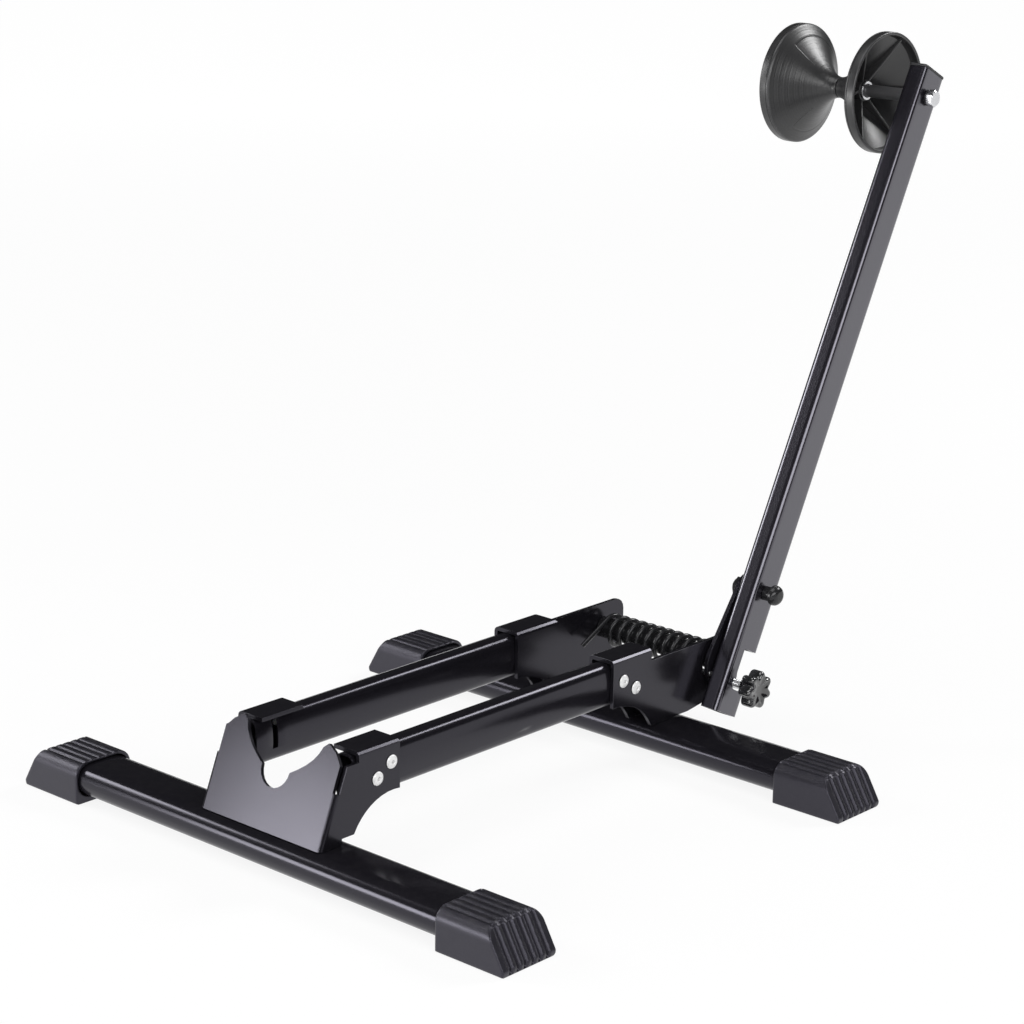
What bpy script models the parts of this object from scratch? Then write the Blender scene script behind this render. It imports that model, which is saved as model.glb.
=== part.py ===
# Floor stand that parks a bicycle by one wheel, with a sprung arm and cone rollers.
# Units are metres. X runs across the stand, +Y to the rear where the arm stands, +Z up.
# The origin is on the floor under the middle of the stand's bounding box.

import math

import bmesh
import bpy
from mathutils import Vector

# Clearances
GAP = 0.0003               # between pieces that touch, so that solids stay apart
HOLE_GAP = 0.0003          # all round a pin or bolt in its hole
TRIM = 0.004               # how far a cutter reaches past what it cuts

# Crossbars: flat oval steel tube lying across the floor
STAND_WIDTH = 0.400        # over the foot caps
BAR_PITCH = 0.298          # front crossbar to rear crossbar, centre to centre
BAR_DEPTH = 0.038
BAR_HEIGHT = 0.020
BAR_CORNER = 0.008
BAR_WALL = 0.0015
BAR_CLEAR_OF_FLOOR = 0.004

# Foot caps: ribbed rubber boots on the crossbar ends
CAP_LENGTH = 0.050
CAP_WALL = 0.0020
CAP_END_WALL = 0.0155      # from the bar's end to the cap's tip
CAP_TOE_HEIGHT = 0.0035
CAP_TOE_SETBACK = 0.0008
CAP_TOP_SETBACK = 0.0135
CAP_SHOULDER = 0.0022
CAP_SIDE_CORNER = 0.0090
CAP_SOLE_CORNER = 0.0015
GROOVE_COUNT = 6
GROOVE_PITCH = 0.0045
GROOVE_WIDTH = 0.0014
GROOVE_DEPTH = 0.0010
GROOVE_START = 0.0025      # from the cap's inner end
GROOVE_TOE = 0.0020        # above the floor

# Rails: two oval tubes on edge, between which the tyre stands
RAIL_WIDTH = 0.015
RAIL_HEIGHT = 0.0286
RAIL_CORNER = 0.005
RAIL_WALL = 0.0015
RAIL_SPACING = 0.0802      # centre to centre
RAIL_CENTRE_HEIGHT = 0.059
RAIL_FRONT_INSET = 0.0190  # rail end behind the front crossbar's centre
RAIL_REAR_INSET = 0.0150   # rail end ahead of the rear crossbar's centre
RAIL_SLOT_WIDTH = 0.0042
RAIL_SLOT_DROP = 0.0200    # below the rail's top
RAIL_SLOT_INSET = 0.0150   # from the rail's front end
RAIL_SLOT_REACH = 0.0025   # into the rail from its inner side

# Folded steel brackets
SHEET = 0.0025
BEND_RADIUS = 0.0032
BEND_STEPS = 3

# Front bracket, measured back from the front crossbar's centre or up the leaning plate
FRONT_LEAN = math.radians(22.0)
FRONT_TOE = 0.0103         # front plate's foot ahead of the crossbar's centre
FRONT_REAR_EDGE = 0.0535
FRONT_FLANGE_START = 0.0207
FRONT_FOOT_END = 0.0070
FRONT_FOOT_RISE = 0.0037
SHOULDER_HEIGHT = 0.0700   # side plate's top edge ahead of the flange
SLIT_BOTTOM = 0.0340
SLIT_INSET = 0.0030
HORN_HEIGHT = 0.0600
HORN_PEAK_HALF = 0.0350
HORN_SHOULDER_HALF = 0.0420
HORN_SHOULDER_HEIGHT = 0.0560
HORN_SIDE_HEIGHT = 0.0500
HORN_INNER_HALF = 0.0315
HORN_INNER_HEIGHT = 0.0570
HORN_THROAT_HALF = 0.0290
HORN_THROAT_HEIGHT = 0.0480
NOTCH_LIP_HALF = 0.0170
NOTCH_LIP_HEIGHT = 0.0400
NOTCH_CENTRE = 0.0365
NOTCH_RADIUS = 0.0115
ARCH_RADIUS = 0.0360
ARCH_CENTRE = 0.0480
ARCH_TOP = 0.0464

# Rear brackets, measured from the rear crossbar's centre
REAR_FRONT_EDGE = 0.0558   # ahead of the centre
REAR_FLANGE_LENGTH = 0.0368
REAR_SKIRT_HEIGHT = 0.0450
REAR_SKIRT_BEND = 0.0290   # ahead of the centre
REAR_SKIRT_FOOT = 0.0180   # ahead of the centre
PIVOT_PLATE_TOP = 0.0680
PIVOT_PLATE_END = 0.0702
PIVOT_PLATE_CORNER = 0.0080
PIVOT_PLATE_TAIL = 0.0300
INNER_PLATE_END = 0.0300
INNER_PLATE_END_HEIGHT = 0.0315

# Blind rivets
RIVET_HEAD_RADIUS = 0.0042
RIVET_HEAD_HEIGHT = 0.0014
RIVET_CROWN_RADIUS = 0.0026
RIVET_EDGE_RADIUS = 0.0037
RIVET_EDGE_DROP = 0.0004
RIVET_SHANK_RADIUS = 0.0020
RIVET_BULB_RADIUS = 0.0027
RIVET_BULB_LENGTH = 0.0035
RIVET_HOLE_RADIUS = 0.0011
RIVET_HOLE_DEPTH = 0.0022
FRONT_RIVETS = ((0.0465, 0.0638), (0.0352, 0.0566))     # behind the bar's centre, height
REAR_RIVETS = ((-0.0462, 0.0609), (-0.0341, 0.0537))

# Pivot of the arm
AXLE_BEHIND_BAR = 0.0495
AXLE_HEIGHT = 0.0515
AXLE_RADIUS = 0.0040
AXLE_TAIL = 0.0020         # axle past its nut
WASHER_RADIUS = 0.0104
WASHER_THICKNESS = 0.0015
NUT_FLATS = 0.0130
NUT_THICKNESS = 0.0065
SLEEVE_RADIUS = 0.0070
PIVOT_TRAVEL = math.radians(20.0)

# Torsion spring on the sleeve, with angles seen from the right and 0 to the rear
WIRE_RADIUS = 0.0016
SPRING_RADIUS = 0.0096     # axle to the wire's centre
SPRING_LEFT = -0.0400
SPRING_RIGHT = 0.0415
SPRING_FULL_TURNS = 10
POINTS_PER_TURN = 10
LEFT_LEG_ANGLE = math.radians(117.0)
LEFT_LEG_LENGTH = 0.0420
LEFT_LEG_BEND = 0.0040
RIGHT_LEG_OVERRUN = 0.0040

# Lever plate and stop pin
LEVER_THICKNESS = 0.0026
LEVER_FOOT_RADIUS = 0.0175
LEVER_HEAD_RADIUS = 0.0100
LEVER_SLOT_SPREAD = math.radians(24.0)
PIN_RADIUS = 0.0018
PIN_ORBIT = 0.0142
PIN_ANGLE = math.radians(-160.0)
PIN_REACH = 0.0035         # past the spring's leg
SLOT_CLEARANCE = 0.0004

# Upright arm, measured along the arm from the axle
ARM_LEAN = math.radians(26.8)
ARM_WIDTH = 0.014
ARM_DEPTH = 0.0246
ARM_CORNER = 0.0022
ARM_WALL = 0.0015
ARM_BOTTOM = -0.0320
ARM_TOP = 0.4110
FOLD_BOLT_UP = 0.0500
KNOB_UP = -0.0115
ROLLER_BELOW_TOP = 0.0189  # roller shaft to the arm's top
NOTCH_LOW = -0.0155
NOTCH_HIGH = 0.0115
NOTCH_FRONT_STRIP = 0.0080
NOTCH_SIDE_STRIP = 0.0035
NOTCH_CORNER = 0.0040
PLUG_HEAD = 0.0018
PLUG_EDGE = 0.0005
PLUG_DEPTH = 0.0100
PLUG_CLEARANCE = 0.0002

# Fold bolt
FOLD_BOLT_RADIUS = 0.0040
FOLD_HEAD_RADIUS = 0.0066
FOLD_HEAD_HEIGHT = 0.0055
FOLD_HEAD_DOME = 0.0042     # rounding of the head's rim
FOLD_COLLAR_RADIUS = 0.0047
FOLD_COLLAR_LENGTH = 0.0058
FOLD_WASHER_THICKNESS = 0.0014
FOLD_WASHER_RADIUS = 0.0072
FOLD_NUT_FLATS = 0.0112
FOLD_NUT_THICKNESS = 0.0045
FOLD_BOLT_TAIL = 0.0008

# Roller shaft: a thin bolt inside a sleeve that the rollers turn on
ROLLER_BOLT_RADIUS = 0.0030
ROLLER_HEAD_FLATS = 0.0100
ROLLER_HEAD_HEIGHT = 0.0045
ROLLER_NUT_THICKNESS = 0.0050
ROLLER_WASHER_RADIUS = 0.0063
ROLLER_WASHER_THICKNESS = 0.0016
HEAD_WASHER_RADIUS = 0.0052
ROLLER_SLEEVE_RADIUS = 0.0042
NUT_EDGE = 0.0008

# Star knob
KNOB_RADIUS = 0.0125
KNOB_LOBES = 7
KNOB_LOBE_DEPTH = 0.0032
KNOB_THICKNESS = 0.0100
KNOB_STANDOFF = 0.0100     # knob's inner face to the arm's outer face
KNOB_NECK_RADIUS = 0.0065
KNOB_NECK_LENGTH = 0.0030
KNOB_EDGE = 0.0014
KNOB_CROWN_DROP = 0.0004
KNOB_CROWN_INSET = 0.0006
POINTS_PER_LOBE = 8
SCREW_RADIUS = 0.0030
SCREW_BURIED = 0.0070      # screw inside the knob
BOSS_RADIUS = 0.0064
BOSS_LENGTH = 0.0060

# Cone rollers, measured out from the middle of the wheel slot
ROLLER_RADIUS = 0.0400
ROLLER_LENGTH = 0.0385
ROLLER_RIM = 0.0072
ROLLER_NECK_RADIUS = 0.0070
ROLLER_FLARE = 1.75        # how late the trumpet opens
ROLLER_WALL = 0.0022
ROLLER_HUB_RADIUS = 0.0072
ROLLER_HUB_END = 0.0200
ROLLER_RIBS = 6
ROLLER_RIB_THICKNESS = 0.0018
ROLLER_RIB_INSET = 0.0040  # rib's outer corner below the rim
ROLLER_SIDES = 36
FLARE_STEPS = 7
FLARE_CROWDING = 0.8

# Round shapes
ROUND_SIDES = 24
SMALL_SIDES = 16
CORNER_STEPS = 4

# Places that follow from the sizes above
ROLLER_UP = ARM_TOP - ROLLER_BELOW_TOP
CAP_DEPTH = BAR_DEPTH + 2 * (GAP + CAP_WALL)
STAND_DEPTH = (CAP_DEPTH / 2 + BAR_PITCH + AXLE_BEHIND_BAR
               + ROLLER_UP * math.sin(ARM_LEAN) + ROLLER_RADIUS)
FRONT_BAR_Y = CAP_DEPTH / 2 - STAND_DEPTH / 2
REAR_BAR_Y = FRONT_BAR_Y + BAR_PITCH
BAR_CENTRE_HEIGHT = BAR_CLEAR_OF_FLOOR + BAR_HEIGHT / 2
BAR_TOP = BAR_CLEAR_OF_FLOOR + BAR_HEIGHT
BAR_END = STAND_WIDTH / 2 - CAP_END_WALL
CAP_HEIGHT = BAR_TOP + GAP + CAP_WALL
RAIL_TOP = RAIL_CENTRE_HEIGHT + RAIL_HEIGHT / 2
RAIL_INNER = RAIL_SPACING / 2 - RAIL_WIDTH / 2
RAIL_OUTER = RAIL_SPACING / 2 + RAIL_WIDTH / 2
RAIL_FRONT = FRONT_BAR_Y + RAIL_FRONT_INSET
RAIL_REAR = REAR_BAR_Y - RAIL_REAR_INSET
PLATE_INNER = RAIL_OUTER + GAP
PLATE_OUTER = PLATE_INNER + SHEET
HOOD_INNER = RAIL_INNER - GAP - SHEET
FLANGE_TOP = RAIL_TOP + GAP + SHEET
BRACKET_FOOT = BAR_TOP + GAP
AXLE_Y = REAR_BAR_Y + AXLE_BEHIND_BAR
LEVER_INNER = PLATE_OUTER + 2 * GAP + WASHER_THICKNESS
LEVER_OUTER = LEVER_INNER + LEVER_THICKNESS
ARM_INNER = LEVER_OUTER + GAP
ARM_OUTER = ARM_INNER + ARM_WIDTH
ARM_CENTRE = ARM_INNER + ARM_WIDTH / 2
KNOB_INNER = ARM_OUTER + KNOB_STANDOFF
ARM_TUBE_TOP = ARM_TOP - PLUG_HEAD - GAP


def clear_scene():
    for scene_object in list(bpy.data.objects):
        bpy.data.objects.remove(scene_object, do_unlink=True)


def material(name, color, roughness, metallic=0.0):
    found = bpy.data.materials.get(name)
    if found:
        return found
    made = bpy.data.materials.new(name)
    made.use_nodes = True
    shader = made.node_tree.nodes["Principled BSDF"]
    shader.inputs["Base Color"].default_value = (*color, 1.0)
    shader.inputs["Roughness"].default_value = roughness
    shader.inputs["Metallic"].default_value = metallic
    made.diffuse_color = (*color, 1.0)
    return made


def powder_coat(node):
    return material(f"{node}_coat", (0.013, 0.012, 0.015), 0.38)


def rubber(node):
    return material(f"{node}_rubber", (0.012, 0.012, 0.013), 0.75)


def black_plastic(node):
    return material(f"{node}_plastic", (0.016, 0.016, 0.017), 0.48)


def zinc(node):
    return material(f"{node}_zinc", (0.72, 0.72, 0.74), 0.28, 1.0)


def black_steel(node):
    return material(f"{node}_steel", (0.02, 0.02, 0.022), 0.42, 0.6)


def place(name, data, surface, parent=None, location=(0.0, 0.0, 0.0), rotation_x=0.0):
    made = bpy.data.objects.new(name, data)
    bpy.context.collection.objects.link(made)
    made.parent = parent
    made.location = location
    made.rotation_euler = (rotation_x, 0.0, 0.0)
    if surface:
        data.materials.append(surface)
    return made


def cutter(name, data, parent=None, location=(0.0, 0.0, 0.0)):
    made = place(name, data, None, parent, location)
    made.hide_render = True
    made.display_type = 'WIRE'
    return made


def combine(target, operand, operation):
    boolean = target.modifiers.new(operand.name, 'BOOLEAN')
    boolean.operation = operation
    boolean.solver = 'EXACT'
    boolean.object = operand


def cut(target, *tools):
    for tool in tools:
        combine(target, tool, 'DIFFERENCE')


def thicken(target, thickness):
    solidify = target.modifiers.new("wall", 'SOLIDIFY')
    solidify.thickness = thickness
    solidify.offset = -1.0
    solidify.use_even_offset = True
    solidify.use_rim = True


def finish_mesh(name, bm, smooth_degrees=35.0):
    mesh = bpy.data.meshes.new(name)
    bm.to_mesh(mesh)
    bm.free()
    mesh.shade_smooth()
    mesh.set_sharp_from_angle(angle=math.radians(smooth_degrees))
    return mesh


# Shapes

def arc(centre, radius, start, end, steps):
    points = []
    for step in range(steps + 1):
        angle = start + (end - start) * step / steps
        points.append((centre[0] + radius * math.cos(angle),
                       centre[1] + radius * math.sin(angle)))
    return points


def rounded_outline(width, height, corner, lower_corner=None):
    """Outline centred on its middle, counter-clockwise from the lower right corner."""
    lower = corner if lower_corner is None else lower_corner
    half_width = width / 2
    half_height = height / 2
    quarter = math.pi / 2
    corners = ((1, -1, lower, 3), (1, 1, corner, 0), (-1, 1, corner, 1), (-1, -1, lower, 2))
    outline = []
    for side, level, radius, turn in corners:
        centre = (side * (half_width - radius), level * (half_height - radius))
        outline += arc(centre, radius, turn * quarter, (turn + 1) * quarter, CORNER_STEPS)
    return outline


def arc_slot(centre, radius, half_width, start, end):
    """Outline of a curved slot with round ends, from angle start to angle end."""
    turn = math.pi
    first = (centre[0] + radius * math.cos(start), centre[1] + radius * math.sin(start))
    last = (centre[0] + radius * math.cos(end), centre[1] + radius * math.sin(end))
    outline = arc(centre, radius + half_width, start, end, 8)
    outline += arc(last, half_width, end, end + turn, 6)[1:]
    outline += arc(centre, radius - half_width, end, start, 8)[1:]
    outline += arc(first, half_width, start + turn, start + 2 * turn, 6)[1:-1]
    return outline


def quadratic(start, middle, end, steps):
    points = []
    for step in range(steps + 1):
        t = step / steps
        weights = ((1 - t) ** 2, 2 * t * (1 - t), t ** 2)
        points.append(tuple(weights[0] * a + weights[1] * b + weights[2] * c
                            for a, b, c in zip(start, middle, end)))
    return points


def lofted(name, rings, ring_closed=False, smooth_degrees=35.0):
    """Solid through rings of equal counts, capped, or joined last to first when closed."""
    bm = bmesh.new()
    loops = [[bm.verts.new(point) for point in points] for points in rings]
    pairs = list(zip(loops, loops[1:]))
    if ring_closed:
        pairs.append((loops[-1], loops[0]))
    for low, high in pairs:
        for index in range(len(low)):
            following = (index + 1) % len(low)
            bm.faces.new((low[index], low[following], high[following], high[index]))
    if not ring_closed:
        bm.faces.new(loops[0])
        bm.faces.new(loops[-1])
    bmesh.ops.recalc_face_normals(bm, faces=bm.faces)
    return finish_mesh(name, bm, smooth_degrees)


def circle(x, radius, sides, phase=0.0, centre=(0.0, 0.0)):
    return [(x, centre[0] + radius * math.cos(2 * math.pi * index / sides + phase),
             centre[1] + radius * math.sin(2 * math.pi * index / sides + phase))
            for index in range(sides)]


def hexagon(x, half_flats, sides, phase=0.0):
    points = []
    for index in range(sides):
        angle = 2 * math.pi * index / sides
        from_flat = angle % (math.pi / 3) - math.pi / 6
        reach = half_flats / math.cos(from_flat)
        points.append((x, reach * math.cos(angle + phase), reach * math.sin(angle + phase)))
    return points


def turned(name, profile, sides=ROUND_SIDES, bored=False, phase=0.0):
    """Solid turned about X from (x, radius) pairs. A bored profile joins up with itself."""
    rings = [circle(x, radius, sides, phase) for x, radius in profile]
    return lofted(name, rings, bored)


def washer(name, start, thickness, radius, bore):
    end = start + thickness
    profile = ((start, bore), (start, radius), (end, radius), (end, bore))
    return turned(name, profile, bored=True)


def nut(name, start, thickness, flats, bore):
    """Hexagon nut along X with its corners taken off at both faces."""
    end = start + thickness
    rings = [circle(start, bore, ROUND_SIDES),
             circle(start, flats / 2 - NUT_EDGE / 2, ROUND_SIDES),
             hexagon(start + NUT_EDGE, flats / 2, ROUND_SIDES),
             hexagon(end - NUT_EDGE, flats / 2, ROUND_SIDES),
             circle(end, flats / 2 - NUT_EDGE / 2, ROUND_SIDES),
             circle(end, bore, ROUND_SIDES)]
    return lofted(name, rings, True)


def prism(name, outline, axis, start, end):
    """Outline pushed along X, as (y, z) points, or along Y, as (x, z) points."""
    if axis == 'X':
        corners = [Vector((start, across, up)) for across, up in outline]
        push = Vector((end - start, 0.0, 0.0))
    else:
        corners = [Vector((across, start, up)) for across, up in outline]
        push = Vector((0.0, end - start, 0.0))
    bm = bmesh.new()
    face = bm.faces.new([bm.verts.new(corner) for corner in corners])
    pushed = bmesh.ops.extrude_face_region(bm, geom=[face])
    moved = [item for item in pushed["geom"] if isinstance(item, bmesh.types.BMVert)]
    bmesh.ops.translate(bm, verts=moved, vec=push)
    bmesh.ops.recalc_face_normals(bm, faces=bm.faces)
    return finish_mesh(name, bm)


def block(name, low, high):
    outline = ((low[1], low[2]), (high[1], low[2]), (high[1], high[2]), (low[1], high[2]))
    return prism(name, outline, 'X', low[0], high[0])


def rod(name, start, end, radius, places=((0.0, 0.0),), sides=SMALL_SIDES):
    """Round rods along X, one at each (y, z) place."""
    bm = bmesh.new()
    for centre in places:
        loops = [[bm.verts.new(point) for point in circle(x, radius, sides, 0.0, centre)]
                 for x in (start, end)]
        edges = [bm.edges.new((loop[index - 1], loop[index]))
                 for loop in loops for index in range(sides)]
        bmesh.ops.bridge_loops(bm, edges=edges)
        bm.faces.new(loops[0])
        bm.faces.new(loops[1])
    bmesh.ops.recalc_face_normals(bm, faces=bm.faces)
    return finish_mesh(name, bm)


def open_tube(name, outline, axis, start, end):
    """Skin of a tube, open at both ends and facing out, for a wall to be added inside."""
    bm = bmesh.new()
    loops = []
    for along in (start, end):
        if axis == 'X':
            points = [(along, across, up) for across, up in outline]
        elif axis == 'Y':
            points = [(across, along, up) for across, up in reversed(outline)]
        else:
            points = [(across, back, along) for across, back in outline]
        loops.append([bm.verts.new(point) for point in points])
    for index in range(len(outline)):
        bm.faces.new((loops[0][index - 1], loops[0][index],
                      loops[1][index], loops[1][index - 1]))
    return finish_mesh(name, bm)


def folded_sheet(name, panels):
    """Skin of a bent sheet from flat panels. Edges that two panels share become bends."""
    bm = bmesh.new()
    for points, outward in panels:
        face = bm.faces.new([bm.verts.new(point) for point in points])
        face.normal_update()
        if face.normal.dot(Vector(outward)) < 0:
            face.normal_flip()
    bmesh.ops.remove_doubles(bm, verts=bm.verts, dist=1e-6)
    bends = [edge for edge in bm.edges if len(edge.link_faces) == 2]
    bmesh.ops.bevel(bm, geom=bends, offset=BEND_RADIUS, segments=BEND_STEPS,
                    profile=0.5, affect='EDGES')
    return finish_mesh(name, bm)


# Crossbars and foot caps

def crossbar(name, y):
    outline = [(y + across, BAR_CENTRE_HEIGHT + up)
               for across, up in rounded_outline(BAR_DEPTH, BAR_HEIGHT, BAR_CORNER)]
    bar = place(name, open_tube(name, outline, 'X', -BAR_END, BAR_END), powder_coat(name))
    thicken(bar, BAR_WALL)


def cap_side_profile(inset):
    """Side view of a cap as (x, z) from its inner end, drawn in by inset at top and tip."""
    top = CAP_HEIGHT - inset
    slope = Vector((-CAP_TOP_SETBACK, CAP_HEIGHT - CAP_TOE_HEIGHT))
    across = Vector((slope.y, -slope.x)).normalized() * inset
    toe = Vector((CAP_LENGTH, CAP_TOE_HEIGHT)) - across
    rise = slope / slope.y
    crest = toe + rise * (top - toe.y)
    shoulder = slope.normalized() * CAP_SHOULDER
    return toe, crest - shoulder, (crest.x - CAP_SHOULDER, top)


def foot_cap(name, side, bar_y):
    """Rubber boot: its section along the bar, cut to the side profile, grooved and socketed."""
    section = [(across, CAP_HEIGHT / 2 + up) for across, up
               in rounded_outline(CAP_DEPTH, CAP_HEIGHT, CAP_SIDE_CORNER, CAP_SOLE_CORNER)]
    turn = place(f"{name}_turn", None, None, None, (0.0, bar_y, 0.0))
    turn.rotation_euler = (0.0, 0.0, 0.0 if side > 0 else math.pi)
    inner_end = STAND_WIDTH / 2 - CAP_LENGTH
    cap = place(name, prism(name, section, 'X', 0.0, CAP_LENGTH), rubber(name),
                turn, (inner_end, 0.0, 0.0))
    toe, shoulder, crest = cap_side_profile(0.0)
    side_view = [(-TRIM, 0.0), (CAP_LENGTH - CAP_TOE_SETBACK, 0.0), toe, shoulder, crest,
                 (-TRIM, CAP_HEIGHT)]
    envelope = cutter(f"{name}_side_view",
                      prism(name, side_view, 'Y', -CAP_DEPTH, CAP_DEPTH), turn,
                      (inner_end, 0.0, 0.0))
    combine(cap, envelope, 'INTERSECT')
    grooves = cutter(f"{name}_grooves", groove_slabs(name), turn, (inner_end, 0.0, 0.0))
    bar = [(across, BAR_CENTRE_HEIGHT + up) for across, up
           in rounded_outline(BAR_DEPTH + 2 * GAP, BAR_HEIGHT + 2 * GAP, BAR_CORNER + GAP)]
    socket = cutter(f"{name}_socket",
                    prism(name, bar, 'X', -TRIM, CAP_LENGTH - CAP_END_WALL + GAP), turn,
                    (inner_end, 0.0, 0.0))
    cut(cap, grooves, socket)


def groove_slabs(name):
    """Thin slabs over the top and down the tip, one for each groove."""
    toe, shoulder, crest = cap_side_profile(GROOVE_DEPTH)
    foot = toe + (toe - Vector(shoulder)) * ((toe.y - GROOVE_TOE) / (shoulder[1] - toe.y))
    beyond, above = CAP_LENGTH + TRIM, CAP_HEIGHT + TRIM
    outline = [(GROOVE_START, crest[1]), crest, shoulder, foot,
               (beyond, GROOVE_TOE), (beyond, above), (GROOVE_START, above)]
    bm = bmesh.new()
    for index in range(GROOVE_COUNT):
        middle = (index - (GROOVE_COUNT - 1) / 2) * GROOVE_PITCH
        near = [bm.verts.new((x, middle - GROOVE_WIDTH / 2, z)) for x, z in outline]
        face = bm.faces.new(near)
        pushed = bmesh.ops.extrude_face_region(bm, geom=[face])
        moved = [item for item in pushed["geom"] if isinstance(item, bmesh.types.BMVert)]
        bmesh.ops.translate(bm, verts=moved, vec=(0.0, GROOVE_WIDTH, 0.0))
    bmesh.ops.recalc_face_normals(bm, faces=bm.faces)
    return finish_mesh(f"{name}_grooves", bm)


# Rails, brackets and rivets

def rivet_places(rivets, bar_y):
    return [(bar_y + back, height) for back, height in rivets]


def rivet_holes(name, side, places):
    """Drills through the bracket and the rail's outer wall."""
    reach = sorted((side * (RAIL_OUTER - RAIL_WALL - GAP), side * (PLATE_OUTER + TRIM)))
    return cutter(name, rod(name, *reach, RIVET_SHANK_RADIUS + HOLE_GAP, places))


def rail(name, side, *holes):
    outline = [(side * RAIL_SPACING / 2 + across, RAIL_CENTRE_HEIGHT + up)
               for across, up in rounded_outline(RAIL_WIDTH, RAIL_HEIGHT, RAIL_CORNER)]
    tube = place(name, open_tube(name, outline, 'Y', RAIL_FRONT, RAIL_REAR),
                 powder_coat(name))
    thicken(tube, RAIL_WALL)
    reach = sorted((side * (RAIL_INNER - TRIM), side * (RAIL_INNER + RAIL_SLOT_REACH)))
    middle = RAIL_FRONT + RAIL_SLOT_INSET
    slot = block(f"{name}_slot",
                 (reach[0], middle - RAIL_SLOT_WIDTH / 2, RAIL_TOP - RAIL_SLOT_DROP),
                 (reach[1], middle + RAIL_SLOT_WIDTH / 2, RAIL_TOP + TRIM))
    cut(tube, cutter(f"{name}_slot", slot), *holes)


def up_front_plate(half, height):
    """Point on the front plate's face, half the width out and a height up the plate."""
    low = Vector((half, FRONT_BAR_Y - FRONT_TOE, BRACKET_FOOT))
    return low + Vector((0.0, math.sin(FRONT_LEAN), math.cos(FRONT_LEAN))) * height


def front_side_panel(side):
    """Side wall of the front bracket, with the arch over the wheel side of the crossbar."""
    x = side * PLATE_OUTER
    along = Vector((0.0, math.sin(FRONT_LEAN), math.cos(FRONT_LEAN)))
    back = Vector((0.0, math.cos(FRONT_LEAN), -math.sin(FRONT_LEAN)))
    fold_low = up_front_plate(x, -TRIM)
    fold_high = up_front_plate(x, SLIT_BOTTOM)
    slit = fold_high + back * SLIT_INSET
    shoulder = slit + along * ((SHOULDER_HEIGHT - slit.z) / along.z)
    centre = (FRONT_BAR_Y + ARCH_CENTRE, ARCH_TOP - ARCH_RADIUS)
    rear = FRONT_BAR_Y + FRONT_REAR_EDGE
    flange_start = FRONT_BAR_Y + FRONT_FLANGE_START
    foot = FRONT_BAR_Y + FRONT_FOOT_END
    start = math.acos((rear - centre[0]) / ARCH_RADIUS)
    end = math.pi - math.asin((BRACKET_FOOT + FRONT_FOOT_RISE - centre[1]) / ARCH_RADIUS)
    edge = [(flange_start, SHOULDER_HEIGHT), (flange_start, FLANGE_TOP), (rear, FLANGE_TOP)]
    edge += arc(centre, ARCH_RADIUS, start, end, 9)
    edge += [(foot, BRACKET_FOOT + FRONT_FOOT_RISE), (foot, fold_low.z)]
    points = [fold_low, fold_high, slit, shoulder]
    points += [Vector((x, y, z)) for y, z in edge]
    return points, (side, 0.0, 0.0)


def front_face_panel():
    """Leaning front wall, with the tyre notch between two horns."""
    half = [(PLATE_OUTER, -TRIM), (PLATE_OUTER, SLIT_BOTTOM),
            (PLATE_OUTER - SLIT_INSET, SLIT_BOTTOM),
            (PLATE_OUTER - SLIT_INSET, HORN_SIDE_HEIGHT),
            (HORN_SHOULDER_HALF, HORN_SHOULDER_HEIGHT), (HORN_PEAK_HALF, HORN_HEIGHT)]
    half += quadratic((HORN_INNER_HALF, HORN_INNER_HEIGHT),
                      (HORN_THROAT_HALF, HORN_THROAT_HEIGHT),
                      (NOTCH_LIP_HALF, NOTCH_LIP_HEIGHT), 4)
    bottom = arc((0.0, NOTCH_CENTRE), NOTCH_RADIUS, 0.0, -math.pi, 12)
    outline = half + bottom + [(-across, up) for across, up in reversed(half)]
    return [up_front_plate(across, up) for across, up in outline], (0.0, -1.0, 0.0)


def front_flange_panel(side):
    front = FRONT_BAR_Y + FRONT_FLANGE_START
    rear = FRONT_BAR_Y + FRONT_REAR_EDGE
    corners = ((PLATE_OUTER, front), (PLATE_OUTER, rear), (HOOD_INNER, rear),
               (HOOD_INNER, front))
    return [Vector((side * x, y, FLANGE_TOP)) for x, y in corners], (0.0, 0.0, 1.0)


def foot_trim(name, bar_y):
    """Removes what the panels leave below the top of the crossbar."""
    reach = STAND_WIDTH / 2
    return cutter(name, block(name, (-reach, bar_y - BAR_DEPTH, 0.0),
                              (reach, bar_y + BAR_DEPTH, BRACKET_FOOT)))


def front_bracket(*holes):
    panels = [front_face_panel()]
    for side in (-1, 1):
        panels += [front_side_panel(side), front_flange_panel(side)]
    bracket = place("front_bracket", folded_sheet("front_bracket", panels),
                    powder_coat("front_bracket"))
    thicken(bracket, SHEET)
    cut(bracket, foot_trim("front_foot_trim", FRONT_BAR_Y), *holes)


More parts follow.
